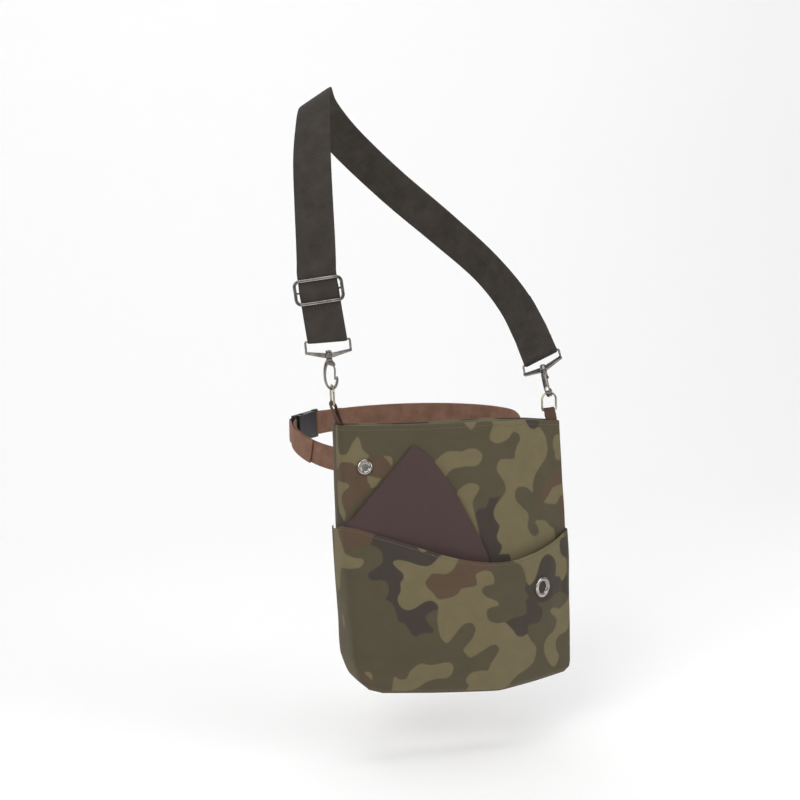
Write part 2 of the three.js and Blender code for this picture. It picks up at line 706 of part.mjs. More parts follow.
// Tab: webbing round the ring's bar, both legs together down into the bag
function tab(barAt, barAcross, mouthAt, mouthAcross, name) {
  const straight = v3(0, 0, -1);
  const fall = mouthAt.clone().sub(barAt).normalize();
  const bend = fall.clone().add(straight).normalize();
  const loopRadius = ringWire / 2 + 2 * gap + tabThick / 2;
  const stations = [];
  const put = (base, across, spread, direction) => {
    const face = v3(0, 0, 0).crossVectors(direction, across).normalize();
    stations.push({ at: base.clone().addScaledVector(face, spread), across });
  };
  const end = mouthAt.clone().add(v3(0, 0, -tabInBag));
  const alongLeg = (t, side) => {
    const across = barAcross.clone().lerp(mouthAcross, t).normalize();
    const spread = side * mix(loopRadius, tabLegApart, smooth(t));
    put(barAt.clone().lerp(mouthAt, t), across, spread, t < 1 ? fall : bend);
  };
  put(end, mouthAcross, tabLegApart, straight);
  for (const t of [1, 0.85, 0.7, 0.35]) alongLeg(t, 1);
  const loopFace = v3(0, 0, 0).crossVectors(fall, barAcross).normalize();
  const steps = 8;
  for (let k = 0; k <= steps; k += 1) {
    const a = (k / steps) * Math.PI;
    stations.push({ at: barAt.clone().addScaledVector(loopFace, loopRadius * Math.cos(a))
      .addScaledVector(fall, -loopRadius * Math.sin(a)), across: barAcross });
  }
  for (const t of [0.35, 0.7, 0.85, 1]) alongLeg(t, -1);
  put(end, mouthAcross, -tabLegApart, straight);
  add(name, ribbon(stations, tabWidth, tabThick), matte(colours.brown));
}

// One row for each strap end, in the wearer's frame
const ends = [
  {
    name: 'left', swivel: v3(-105.6, -110, 107), up: v3(-0.08, -0.03, 1), across: v3(0.95, -0.26, 0.09),
    hookTurn: 16, ringUp: v3(-0.03, -0.05, 1),
    tabFoot: v3(-96.3, -109.5, 36.6), footAcross: v3(0.34, -0.94, 0),
  },
  {
    name: 'right', swivel: v3(139.8, -44, 72.4), up: v3(0.033, 0.689, 0.725), across: v3(0.73, -0.47, 0.5),
    hookTurn: 100, ringUp: v3(0.12, 0.437, 0.893),
    tabFoot: v3(134, -88.7, 25.4), footAcross: v3(0.96, 0.27, 0),
  },
];
const frameOf = {};
for (const end of ends) {
  const frame = placed(end.swivel, end.up, end.across);
  worn.add(frame);
  add(`swivel_frame_${end.name}`, swivelFrame(), metal(colours.nickel), frame);
  const hook = new THREE.Group();
  hook.rotation.z = deg(end.hookTurn);
  frame.add(hook);
  add(`hook_${end.name}`, hookBody(), metal(colours.nickel), hook);
  const gateGroup = new THREE.Group();
  gateGroup.position.set(gateHingeX, 0, -gateHingeDrop);
  hook.add(gateGroup);
  add(`gate_${end.name}`, gate(), metal(colours.nickel), gateGroup);
  worn.updateMatrixWorld(true);
  const toWorn = new THREE.Matrix4().copy(worn.matrixWorld).invert().multiply(hook.matrixWorld);
  const inHook = v3(0, 0, -hookDrop + hookBand + gap + ringWire / 2 + ringPlay).applyMatrix4(toWorn);
  const hookNormal = v3(0, -1, 0).transformDirection(toWorn);
  const ringUp = end.ringUp.clone().normalize();
  const ring = placed(inHook.clone().addScaledVector(ringUp, -ringHigh), ringUp, hookNormal);
  worn.add(ring);
  add(`d_ring_${end.name}`, dRing(), metal(colours.nickel), ring);
  const ringAcross = v3(1, 0, 0).applyQuaternion(ring.quaternion);
  tab(ring.position, ringAcross, end.tabFoot, end.footAcross.clone().normalize(), `tab_${end.name}`);
  frameOf[end.name] = frame;
}

// Shoulder strap. Each row is a place on the middle of the webbing and the direction of its width.
const strapRoute = [
  { x: -110.6, y: -109, z: 150, ax: 0.95, ay: -0.28, az: 0.13 },
  { x: -113.2, y: -107.5, z: 169.8, ax: 0.95, ay: -0.28, az: 0.14 },
  { x: -114.6, y: -105, z: 187, ax: 0.95, ay: -0.3, az: 0.12 },
  { x: -114.2, y: -99, z: 221, ax: 0.94, ay: -0.33, az: 0.06 },
  { x: -113, y: -87, z: 260, ax: 0.92, ay: -0.39, az: 0.03 },
  { x: -110, y: -67, z: 299, ax: 0.9, ay: -0.42, az: 0.08 },
  { x: -103, y: -36, z: 334.5, ax: 0.85, ay: -0.42, az: 0.32 },
  { x: shoulder.x, y: shoulder.y, z: shoulder.z + strapThick / 2, ax: 0.79, ay: -0.34, az: 0.53 },
  { x: -78, y: 49, z: 349, ax: 0.76, ay: -0.22, az: 0.6 },
  { x: -45, y: 88, z: 317, ax: 0.68, ay: -0.12, az: 0.72 },
  { x: 10, y: 104, z: 267, ax: 0.62, ay: -0.06, az: 0.78 },
  { x: 66, y: 91, z: 217, ax: 0.55, ay: -0.3, az: 0.77 },
  { x: 108, y: 63, z: 174, ax: 0.5, ay: -0.5, az: 0.7 },
  { x: 130, y: 31, z: 138, ax: 0.62, ay: -0.52, az: 0.58 },
  { x: 138.4, y: -2, z: 107, ax: 0.71, ay: -0.48, az: 0.51 },
];
function strapBase(steps) {
  const middle = new THREE.CatmullRomCurve3(strapRoute.map((r) => v3(r.x, r.y, r.z)));
  const width = new THREE.CatmullRomCurve3(strapRoute.map((r) => v3(r.ax, r.ay, r.az)));
  return Array.from({ length: steps + 1 }, (_, i) => ({
    at: middle.getPoint(i / steps), across: width.getPoint(i / steps).normalize() }));
}

// Round the bar of a swivel frame: stations from its back, under the bar, to its front
function aroundBar(matrix) {
  const radius = frameRod / 2 + gap + strapThick / 2;
  const across = v3(1, 0, 0).transformDirection(matrix);
  const steps = 6;
  return Array.from({ length: steps + 1 }, (_, k) => {
    const a = (k / steps) * Math.PI;
    const place = v3(0, radius * Math.cos(a), frameBarUp - radius * Math.sin(a));
    return { at: place.applyMatrix4(matrix), across };
  });
}

const slotHeight = sliderHigh / 2 - sliderBand;
const behindBand = sliderDeep / 2 + 1.5 * gap + strapThick / 2;
const overBar = sliderBarBack - sliderBar / 2 - gap - strapThick / 2;
const underBar = sliderBarBack + sliderBar / 2 + gap + strapThick / 2;

const base = strapBase(64);
const sliderAt = base.find((s) => s.at.z >= 169.8);
const sliderUp = base.find((s) => s.at.z >= 183).at.clone().sub(base[0].at).normalize();
const slider = placed(sliderAt.at, sliderUp, sliderAt.across);
// the webbing runs behind the slider's band, so the slider stands in front of the route
const sliderOut = v3(0, -1, 0).applyQuaternion(slider.quaternion);
slider.position.addScaledVector(sliderOut, behindBand);
slider.updateMatrix();
worn.add(slider);

// Slider: rounded band with one bar across, set back
const bandHalf = sliderWidth / 2 - sliderBand / 2;
const bandHalfHigh = sliderHigh / 2 - sliderBand / 2;
const bandCorners = [[-1, -1], [-1, 1], [1, 1], [1, -1]]
  .map(([x, z]) => v3(x * bandHalf, 0, z * bandHalfHigh));
const bandPath = rounded(bandCorners, sliderCorner - sliderBand / 2, true, 5);
const band = sweep(bandPath, yAxis, { halfWide: sliderDeep / 2, halfThick: sliderBand / 2, square: 1 }, true);
const barEnd = [[0, 0], [1, 0.6], [2.4, 1]];   // how far in from the band, and how far back as a share
const barPath = [
  ...barEnd.map(([x, back]) => v3(x - bandHalf, sliderBarBack * back, 0)),
  ...barEnd.toReversed().map(([x, back]) => v3(bandHalf - x, sliderBarBack * back, 0)),
];
const bar = sweep(barPath, v3(0, 0, 1), { halfWide: sliderBar / 2, halfThick: sliderBar / 2 });
add('strap_slider', join(band, bar), metal(colours.nickel), slider);

// Up from the frame behind the slider's band and over its bar.
// The back layer goes from the bar down to the frame.
const sliderAcross = v3(1, 0, 0).applyQuaternion(slider.quaternion);
const onSlider = (y, z) => ({ at: v3(0, y, z).applyMatrix4(slider.matrix), across: sliderAcross });
const through = [-1.6, -1, -0.5, 0, 0.5, 1, 1.6].map((t) => (
  onSlider(mix(overBar, behindBand, smooth(Math.abs(t))), t * (slotHeight + sliderBand / 2))));
const backLayer = [4.5, 1, -4, -10, -17].map((z) => (
  onSlider(mix(underBar, behindBand + strapThick + layerGap, THREE.MathUtils.clamp(-z / 10, 0, 1)), z)));
const leftFold = aroundBar(frameOf.left.matrix);
const rightFold = aroundBar(frameOf.right.matrix);
const between = (a, b, count) => Array.from({ length: count }, (_, k) => ({
  at: a.at.clone().lerp(b.at, (k + 1) / (count + 1)),
  across: a.across.clone().lerp(b.across, (k + 1) / (count + 1)).normalize() }));
const clearOfSlider = slider.position.distanceTo(through.at(-1).at) + 8;
const afterSlider = base.slice(base.indexOf(sliderAt))
  .filter((s) => s.at.distanceTo(slider.position) > clearOfSlider);
// the sewn tail behind the last stretch
const tailSteps = 5;
const rightFace = v3(0, 1, 0).transformDirection(frameOf.right.matrix);
const tail = afterSlider.slice(-tailSteps).toReversed().map((s) => ({
  at: s.at.clone().addScaledVector(rightFace, strapThick + 2 * layerGap), across: s.across }));
const strapStations = [
  ...backLayer, ...between(backLayer.at(-1), leftFold[0], 2), ...leftFold,
  ...between(leftFold.at(-1), through[0], 2), ...through, ...afterSlider,
  ...between(afterSlider.at(-1), rightFold.at(-1), 2), ...rightFold.toReversed(),
  ...between(rightFold[0], tail[0], 2), ...tail,
];
add('shoulder_strap', ribbon(strapStations, strapWidth, strapThick), matte(colours.webbing));

// Waist belt: level behind, lower in front where the bag hangs on it
function beltHeight(y) {
  return beltBackHigh - beltFrontDrop * smooth((beltLevelTo - y) / (beltLevelTo - beltLowFrom));
}
// Angles run from the wearer's left side over the back (90) to the right side (180) and the front (270)
function beltPoint(angle, out) {
  const y = Math.sin(deg(angle)) * (waistHalfDepth + out);
  return v3(Math.cos(deg(angle)) * (waistHalfWidth + out), y, beltHeight(y));
}
const upright = v3(0, 0, 1);
const buckleAngle = 147;
const buckleAt = beltPoint(buckleAngle, 0);
const buckleAlong = beltPoint(buckleAngle + 4, 0).sub(beltPoint(buckleAngle - 4, 0)).setZ(0);
const buckle = placed(buckleAt, upright, buckleAlong);
worn.add(buckle);

// Buckle: +X of its own frame runs forward along the belt, +Y towards the wearer
const buckleHalf = buckleHigh / 2;
const plateHalf = endPlateThick / 2;
const barX = buckleLength / 2 - buckleBar / 2;
const slotX = buckleLength / 2 - buckleBar - buckleSlot;   // inner end of the webbing slot
// A box from its ends along each direction, in either order
function box(x, y, z) {
  const size = [x, y, z].map(([a, b]) => Math.abs(b - a));
  return new THREE.BoxGeometry(...size).translate((x[0] + x[1]) / 2, (y[0] + y[1]) / 2, (z[0] + z[1]) / 2);
}
const both = (half) => [-half, half];
function endBar(side) {
  const slotHalf = beltWidth / 2 + 0.6;
  const plate = box([side * (slotX - 2), side * buckleLength / 2], both(plateHalf), both(buckleHalf));
  return { plate, slot: box([side * slotX, side * (slotX + buckleSlot)], both(buckleThick), both(slotHalf)) };
}
function buckleSocket() {
  const end = endBar(1);
  const inside = both(buckleThick / 2 - buckleWall);
  const body = box([buckleMouth, slotX - 1], both(buckleThick / 2), both(buckleHalf - 1));
  const hollow = box([buckleMouth - 1, slotX - 1 - 2.5], inside, both(buckleHalf - 1 - buckleWall));
  const windowLong = [buckleMouth + 6, buckleMouth + 14];
  const window = (s) => box(windowLong, inside, [s * (buckleHalf - 4), s * (buckleHalf + 2)]);
  return cut(join(body, end.plate), hollow, window(1), window(-1), end.slot);
}
function buckleClip() {
  const end = endBar(-1);
  const base = box([-slotX, buckleMouth - gap], both(buckleThick / 2 - 0.8), both(buckleHalf - 1));
  const thick = both(buckleThick / 2 - buckleWall - gap);
  const prongOuter = buckleHalf - 1 - buckleWall - 0.4;
  const prongInner = prongOuter - prongHigh;
  const prongLong = [buckleMouth - 1, buckleMouth + prongReach];
  const prong = (s) => box(prongLong, thick, [s * prongOuter, s * prongInner]);
  const tongue = box([buckleMouth - 1, buckleMouth + prongReach - 2], thick, both(2));
  return cut(join(base, end.plate, prong(1), prong(-1), tongue), end.slot);
}
add('belt_buckle_socket', buckleSocket(), matte(colours.plastic), buckle);
add('belt_buckle_clip', buckleClip(), matte(colours.plastic), buckle);

// Belt: doubled back from the socket's bar, once round the waist, folded round the clip's bar
function angleAt(distance) {
  const side = Math.sign(distance);
  let [angle, run] = [buckleAngle, 0];
  while (run < Math.abs(distance)) {
    run += beltPoint(angle, 0).distanceTo(beltPoint(angle + side * 0.25, 0));
    angle += side * 0.25;
  }
  return angle;
}
function beltRun(from, to, out, steps) {
  return Array.from({ length: steps + 1 }, (_, i) => ({
    at: beltPoint(mix(from, to, i / steps), out), across: upright }));
}
const turnRadius = Math.hypot(buckleBar / 2, plateHalf) + gap / 2 + beltThick / 2;
function roundBuckleBar(side, order) {
  const steps = 6;
  const turn = Array.from({ length: steps + 1 }, (_, k) => {
    const a = (k / steps) * Math.PI;
    return [side * (barX - Math.sin(a) * turnRadius), -Math.cos(a) * turnRadius * order];
  });
  const pastEnd = [side * (buckleLength / 2 + 1.5), -turnRadius];
  if (order > 0) turn.unshift(pastEnd);
  else turn.push(pastEnd);
  return turn.map(([x, y]) => ({ at: v3(x, y, 0).applyMatrix4(buckle.matrix), across: upright }));
}
const clearOfBuckle = buckleLength / 2 + 14;
const outerLayer = beltThick + 2 * layerGap;
const socketSide = angleAt(clearOfBuckle);
const clipSide = angleAt(-clearOfBuckle);
const beltStations = [
  ...beltRun(angleAt(clearOfBuckle + beltTail), socketSide, outerLayer, 5),
  ...roundBuckleBar(1, 1),
  ...beltRun(socketSide, clipSide + 360, 0, 44),
  ...roundBuckleBar(-1, -1),
  ...beltRun(clipSide, angleAt(-clearOfBuckle - 20), outerLayer, 2),
];
add('waist_belt', ribbon(beltStations, beltWidth, beltThick), matte(colours.brown));

// Loops on the back of the bag that the belt runs through
function backAt(x, z) {
  const h = -z / bagHeight;
  const ring = bagRing(h);
  for (let i = frontCount; i < ring.length - 1; i += 1) {
    const [a, b] = [ring[i], ring[i + 1]];
    if ((a.x - x) * (b.x - x) <= 0) return a.clone().lerp(b, (x - a.x) / (b.x - a.x));
  }
  return v3(x, 0, z);
}
function beltBehind(x) {
  // the belt's middle at x, in the bag's frame
  let [low, high] = [181, 359];
  for (let k = 0; k < 24; k += 1) {
    const middle = (low + high) / 2;
    if (beltPoint(middle, 0).x < x + bagPlace.x) low = middle;
    else high = middle;
  }
  return beltPoint(low, 0).sub(bag.position);
}
for (const [name, x] of [['left', -loopX - bagPlace.x], ['right', loopX - bagPlace.x]]) {
  const beltMiddle = beltBehind(x);
  const beltBack = Math.max(beltBehind(x - loopWidth / 2).y, beltBehind(x + loopWidth / 2).y);
  const out = beltBack + beltThick / 2 + gap + loopThick / 2;
  const rise = beltWidth / 2 + loopRoom;
  const sewn = rise + loopSlope;
  const stations = [sewn + loopSewn, sewn, rise, -rise, -sewn, -sewn - loopSewn].map((up) => {
    const z = beltMiddle.z + up;
    const onCloth = Math.abs(up) > rise;
    const [a, b] = [backAt(x - loopWidth / 2, z), backAt(x + loopWidth / 2, z)];
    const clothY = Math.max((a.y + b.y) / 2, backAt(x, z).y) + 1.5 * gap + loopThick / 2;
    const lean = onCloth ? (b.y - a.y) / loopWidth : 0;
    return { at: v3(x, onCloth ? clothY : out, z), across: v3(1, lean, 0).normalize() };
  });
  add(`belt_loop_${name}`, ribbon(stations, loopWidth, loopThick), matte(colours.brown), bag);
}

export default worn;
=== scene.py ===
import math

import bmesh
import bpy
import numpy as np
from mathutils import Matrix, Vector


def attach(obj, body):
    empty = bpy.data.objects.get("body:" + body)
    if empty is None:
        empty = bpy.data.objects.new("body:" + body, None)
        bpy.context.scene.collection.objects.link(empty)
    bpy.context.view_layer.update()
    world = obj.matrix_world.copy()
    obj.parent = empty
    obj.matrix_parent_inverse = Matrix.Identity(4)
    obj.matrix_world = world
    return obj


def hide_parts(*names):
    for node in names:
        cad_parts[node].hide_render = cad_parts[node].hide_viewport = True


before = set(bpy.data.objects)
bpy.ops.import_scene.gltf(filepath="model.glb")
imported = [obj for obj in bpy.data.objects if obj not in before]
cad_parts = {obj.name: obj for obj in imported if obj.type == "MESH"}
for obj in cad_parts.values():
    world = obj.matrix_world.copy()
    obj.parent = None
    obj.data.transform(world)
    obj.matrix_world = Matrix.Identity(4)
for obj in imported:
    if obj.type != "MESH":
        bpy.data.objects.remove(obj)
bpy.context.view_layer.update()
print("frame loaded,", len(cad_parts), "nodes")

dice = np.random.default_rng(11)
shoulder = np.array((-91.7, 8.0, 362.2))      # the row's origin, where the strap lies on the shoulder
bagPlace = np.array((13.0, -100.0, 34.5))     # middle of the bag's mouth


def vec(*numbers):
    return np.array(numbers, float)


def unit(v):
    return v / np.maximum(np.linalg.norm(v, axis=-1, keepdims=True), 1e-9)


def mix(a, b, t):
    return a + (b - a) * t


def smooth(t):
    t = np.clip(t, 0, 1)
    return t * t * (3 - 2 * t)


# sRGB hex to the linear values that shaders take
def linear(code):
    channels = [int(code[i:i + 2], 16) / 255 for i in (1, 3, 5)]
    return tuple(c / 12.92 if c <= 0.04045 else ((c + 0.055) / 1.055) ** 2.4 for c in channels) + (1.0,)


# Smooth curve through a table: its first column is the place, the other columns are read there
def readTable(table, place):
    rows = np.asarray(table, float)
    x, y = rows[:, 0], rows[:, 1:]
    slope = np.gradient(y, x, axis=0)
    place = np.clip(np.asarray(place, float), x[0], x[-1])
    i = np.clip(np.searchsorted(x, place, side="right") - 1, 0, len(x) - 2)
    span = (x[i + 1] - x[i])[..., None]
    t = (place - x[i])[..., None] / span
    t2, t3 = t * t, t * t * t
    return ((2 * t3 - 3 * t2 + 1) * y[i] + (t3 - 2 * t2 + t) * span * slope[i]
            + (3 * t2 - 2 * t3) * y[i + 1] + (t3 - t2) * span * slope[i + 1])


# Centripetal curve through chosen points, count + 1 places evenly along their numbers
def curveThrough(points, count):
    p = np.asarray(points, float)
    p = np.vstack([2 * p[0] - p[1], p, 2 * p[-1] - p[-2]])
    out = []
    for s in np.linspace(0, len(points) - 1, count + 1):
        i = min(int(s), len(points) - 2)
        t = s - i
        a, b, c, d = p[i:i + 4]
        gaps = [max(np.linalg.norm(v) ** 0.5, 1e-4) for v in (b - a, c - b, d - c)]
        near = ((b - a) / gaps[0] - (c - a) / (gaps[0] + gaps[1]) + (c - b) / gaps[1]) * gaps[1]
        far = ((c - b) / gaps[1] - (d - b) / (gaps[1] + gaps[2]) + (d - c) / gaps[2]) * gaps[1]
        t2, t3 = t * t, t * t * t
        out.append((2 * t3 - 3 * t2 + 1) * b + (t3 - 2 * t2 + t) * near
                   + (3 * t2 - 2 * t3) * c + (t3 - t2) * far)
    return np.array(out)


# Camera and stage
view = {
    "turn": -13.0,           # degrees round from straight in front
    "rise": 9.0,
    "roll": 1.0,
    "distance": 1800.0,
    "focal": 1659.0,         # in pixels of an 800 pixel picture
    "waist": (408.0, 436.0),  # where the middle of the waist lies in the picture
}


def placeCamera():
    a, e, r = (math.radians(view[k]) for k in ("turn", "rise", "roll"))
    ahead = -vec(math.sin(a) * math.cos(e), -math.cos(a) * math.cos(e), math.sin(e))
    right = vec(math.cos(a), math.sin(a), 0)
    up = np.cross(right, ahead)
    right, up = right * math.cos(r) - up * math.sin(r), up * math.cos(r) + right * math.sin(r)
    scale = view["distance"] / view["focal"]
    eye = -(ahead * view["distance"] + right * (view["waist"][0] - 400) * scale
            - up * (view["waist"][1] - 400) * scale)
    data = bpy.data.cameras.new("camera")
    data.sensor_width = 36
    data.lens = view["focal"] * data.sensor_width / 800
    camera = bpy.data.objects.new("camera", data)
    m = np.eye(4)
    m[:3, 0], m[:3, 1], m[:3, 2], m[:3, 3] = right, up, -ahead, (eye - shoulder) / 1000
    camera.matrix_world = Matrix(m.tolist())
    bpy.context.scene.collection.objects.link(camera)
    bpy.context.scene.camera = camera
    return eye


eye = placeCamera()


# Adds one node: settings are its properties, links give each socket a value or a (node, output) pair
def addNode(tree, kind, settings=None, links=None):
    node = tree.nodes.new(kind)
    for key, value in (settings or {}).items():
        setattr(node, key, value)
    for socket, source in (links or {}).items():
        if isinstance(source, tuple) and isinstance(source[0], bpy.types.Node):
            tree.links.new(source[0].outputs[source[1]], node.inputs[socket])
        else:
            node.inputs[socket].default_value = source
    return node


def newMaterial(name):
    material = bpy.data.materials.new(name)
    material.use_nodes = True
    material.node_tree.nodes.clear()
    return material, material.node_tree


def closeMaterial(tree, links):
    shader = addNode(tree, "ShaderNodeBsdfPrincipled", links=links)
    addNode(tree, "ShaderNodeOutputMaterial", links={"Surface": (shader, "BSDF")})


stageValues = {
    "paper": "#f4f3f2",
    "floorDrop": 34.0,       # floor below the bag's lowest edge
    "world": 0.42,
    "key": 34.0,
    "fill": 15.0,
    "top": 22.0,
}


def addLight(name, place, target, size, power, tint="#ffffff"):
    data = bpy.data.lights.new(name, "AREA")
    data.energy = power
    data.size = size
    data.color = linear(tint)[:3]
    lamp = bpy.data.objects.new(name, data)
    lamp.location = Vector(place)
    lamp.rotation_euler = (Vector(target) - Vector(place)).to_track_quat("-Z", "Y").to_euler()
    bpy.context.scene.collection.objects.link(lamp)


# White paper sweep: flat floor that curves up into a wall behind
def addStage():
    low = -0.6385 - stageValues["floorDrop"] / 1000
    profile = [(-6.0, 0.0), (0.9, 0.0)]
    profile += [(0.9 + 0.8 * math.sin(t), 0.8 - 0.8 * math.cos(t)) for t in np.linspace(0.1, math.pi / 2,
                                                                                        12)]
    profile += [(1.7, 5.0)]
    verts = [(x, y, low + z) for y, z in profile for x in (-6.0, 6.0)]
    faces = [(2 * i, 2 * i + 1, 2 * i + 3, 2 * i + 2) for i in range(len(profile) - 1)]
    data = bpy.data.meshes.new("paperSweep")
    data.from_pydata(verts, [], faces)
    data.polygons.foreach_set("use_smooth", [True] * len(faces))
    sweep = bpy.data.objects.new("paperSweep", data)
    bpy.context.scene.collection.objects.link(sweep)
    material, tree = newMaterial("matt background paper")
    fibre = addNode(tree, "ShaderNodeTexNoise", links={"Scale": 900.0, "Detail": 2.0})
    bump = addNode(tree, "ShaderNodeBump", links={"Height": (fibre, "Fac"), "Strength": 0.02})
    closeMaterial(tree, {"Base Color": linear(stageValues["paper"]), "Roughness": 0.85,
                         "Normal": (bump, "Normal"),
                         "Emission Color": (1, 1, 1, 1), "Emission Strength": 0.1})
    data.materials.append(material)
    world = bpy.data.worlds.new("studio")
    world.use_nodes = True
    world.node_tree.nodes["Background"].inputs[0].default_value = linear("#f2f4f8")
    world.node_tree.nodes["Background"].inputs[1].default_value = stageValues["world"]
    bpy.context.scene.world = world
    addLight("key", (-1.5, -2.2, 1.1), (0.08, -0.1, -0.3), 1.5, stageValues["key"])
    addLight("fill", (1.9, -1.6, 0.3), (0.1, -0.1, -0.35), 1.3, stageValues["fill"])
    addLight("top", (0.1, -0.3, 1.9), (0.1, 0.0, -0.3), 2.0, stageValues["top"])
    addLight("back", (0.4, 2.0, 1.2), (0.1, 0.0, -0.3), 1.6, stageValues["fill"])


addStage()
bpy.context.scene.view_settings.view_transform = "Standard"
print("camera and stage ready")


# Mesh tools
def makePiece(name, parts, material, stands, body="root", matrix=None, bevel=0.0, smoothShade=True):
    verts, faces, start = [], [], 0
    for v, f in parts:
        verts.append(np.asarray(v, float).reshape(-1, 3))
        faces += [tuple(int(i) + start for i in face) for face in f]
        start += len(verts[-1])
    co = np.vstack(verts)
    if matrix is not None:
        co = co @ matrix[:3, :3].T + matrix[:3, 3]
    co = (co - shoulder) / 1000
    data = bpy.data.meshes.new(name)
    data.from_pydata(co.tolist(), [], faces)
    data.validate()
    tidy = bmesh.new()
    tidy.from_mesh(data)
    bmesh.ops.recalc_face_normals(tidy, faces=tidy.faces)
    if bevel:
        sharp = [e for e in tidy.edges if len(e.link_faces) == 2 and e.calc_face_angle() > math.radians(32)]
        bmesh.ops.bevel(tidy, geom=sharp, offset=bevel / 1000, segments=3, profile=0.6, affect="EDGES",
                        clamp_overlap=True)
    tidy.to_mesh(data)
    tidy.free()
    piece = bpy.data.objects.new(name, data)
    bpy.context.scene.collection.objects.link(piece)
    data.polygons.foreach_set("use_smooth", [smoothShade] * len(data.polygons))
    data.materials.append(material)
    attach(piece, body)
    if stands:
        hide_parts(*stands)
    return piece


def giveNumbers(piece, name, values):
    values = np.asarray(values, float)
    kind = "FLOAT" if values.ndim == 1 else "FLOAT_VECTOR"
    field = "value" if values.ndim == 1 else "vector"
    attribute = piece.data.attributes.new(name, kind, "POINT")
    attribute.data.foreach_set(field, values.astype(np.float32).ravel())


# Faces of a grid of points; round is True where the last column joins the first
def gridFaces(rows, columns, round=False, roundRows=False):
    faces = []
    for i in range(rows if roundRows else rows - 1):
        a, b = i * columns, ((i + 1) % rows) * columns
        for j in range(columns if round else columns - 1):
            k = (j + 1) % columns
            faces.append((a + j, a + k, b + k, b + j))
    return faces


# Bar swept along a path in one plane: wide across the plane, thick in it; both may change along the path
def bar(path, normal, wide, thick, closed=False, sides=20, square=2.0):
    path = np.asarray(path, float)
    count = len(path)
    if closed:
        along = unit(np.roll(path, -1, axis=0) - np.roll(path, 1, axis=0))
    else:
        along = unit(np.gradient(path, axis=0))
    normal = unit(np.asarray(normal, float))
    across = unit(np.cross(normal, along))
    turn = (np.arange(sides) + 0.5) / sides * 2 * math.pi
    c, s = np.cos(turn), np.sin(turn)
    a = np.sign(c) * np.abs(c) ** (2 / square) * 0.5
    b = np.sign(s) * np.abs(s) ** (2 / square) * 0.5
    wide = np.broadcast_to(np.asarray(wide, float), (count,))
    thick = np.broadcast_to(np.asarray(thick, float), (count,))
    rings = path[:, None, :] + normal * (a[None, :, None] * wide[:, None, None]) \
        + across[:, None, :] * (b[None, :, None] * thick[:, None, None])
    faces = gridFaces(count, sides, True, closed)
    verts = rings.reshape(-1, 3)
    if not closed:
        verts = np.vstack([verts, path[0], path[-1]])
        faces += [(count * sides, (j + 1) % sides, j) for j in range(sides)]
        last = (count - 1) * sides
        faces += [(count * sides + 1, last + j, last + (j + 1) % sides) for j in range(sides)]
    return verts, faces


# Round piece turned about Z from (radius, height) pairs; ends at radius 0 are closed
def turned(profile, sides=40, closed=False):
    profile = np.asarray(profile, float)
    turn = np.arange(sides) / sides * 2 * math.pi
    rings = np.stack([profile[:, 0:1] * np.cos(turn), profile[:, 0:1] * np.sin(turn),
                      np.repeat(profile[:, 1:2], sides, axis=1)], axis=-1)
    return rings.reshape(-1, 3), gridFaces(len(profile), sides, True, closed)


# Soft profile: a polyline with each corner cut into a small arc
def rounded(points, radius, closed=False, steps=5):
    points = [np.asarray(p, float) for p in points]
    out = []
    for i, corner in enumerate(points):
        if not closed and i in (0, len(points) - 1):
            out.append(corner)
            continue
        a = points[i - 1] - corner
        b = points[(i + 1) % len(points)] - corner
        la, lb = np.linalg.norm(a), np.linalg.norm(b)
        a, b = a / la, b / lb
        half = math.acos(float(np.clip(a @ b, -1, 1))) / 2
        back = min(radius / max(math.tan(half), 1e-3), la * 0.48, lb * 0.48)
        start, end = corner + a * back, corner + b * back
        for t in np.linspace(0, 1, steps + 1):
            out.append((1 - t) ** 2 * start + 2 * t * (1 - t) * corner + t * t * end)
    return np.array(out)


# Plate of constant thickness from an outline in X and Z, lying about y
def plate(outline, y, thick):
    outline = np.asarray(outline, float)
    count = len(outline)
    front = np.column_stack([outline[:, 0], np.full(count, y - thick / 2), outline[:, 1]])
    behind = front + vec(0, thick, 0)
    faces = [tuple(range(count)), tuple(range(2 * count - 1, count - 1, -1))]
    faces += [(j, j + count, (j + 1) % count + count, (j + 1) % count) for j in range(count)]
    return np.vstack([front, behind]), faces


def moved(part, matrix):
    v, f = part
    return np.asarray(v) @ matrix[:3, :3].T + matrix[:3, 3], f


# Matrix of a fitting: Z up its own axis, X across
def placed(origin, up, across):
    z = unit(np.asarray(up, float))
    x = np.asarray(across, float)
    x = unit(x - z * (x @ z))
    m = np.eye(4)
    m[:3, 0], m[:3, 1], m[:3, 2], m[:3, 3] = x, np.cross(z, x), z, origin
    return m


def turnZ(angle, origin=(0, 0, 0)):
    m = np.eye(4)
    c, s = math.cos(math.radians(angle)), math.sin(math.radians(angle))
    m[:2, :2] = ((c, -s), (s, c))
    m[:3, 3] = origin
    return m


def point(matrix, p):
    return matrix[:3, :3] @ np.asarray(p, float) + matrix[:3, 3]


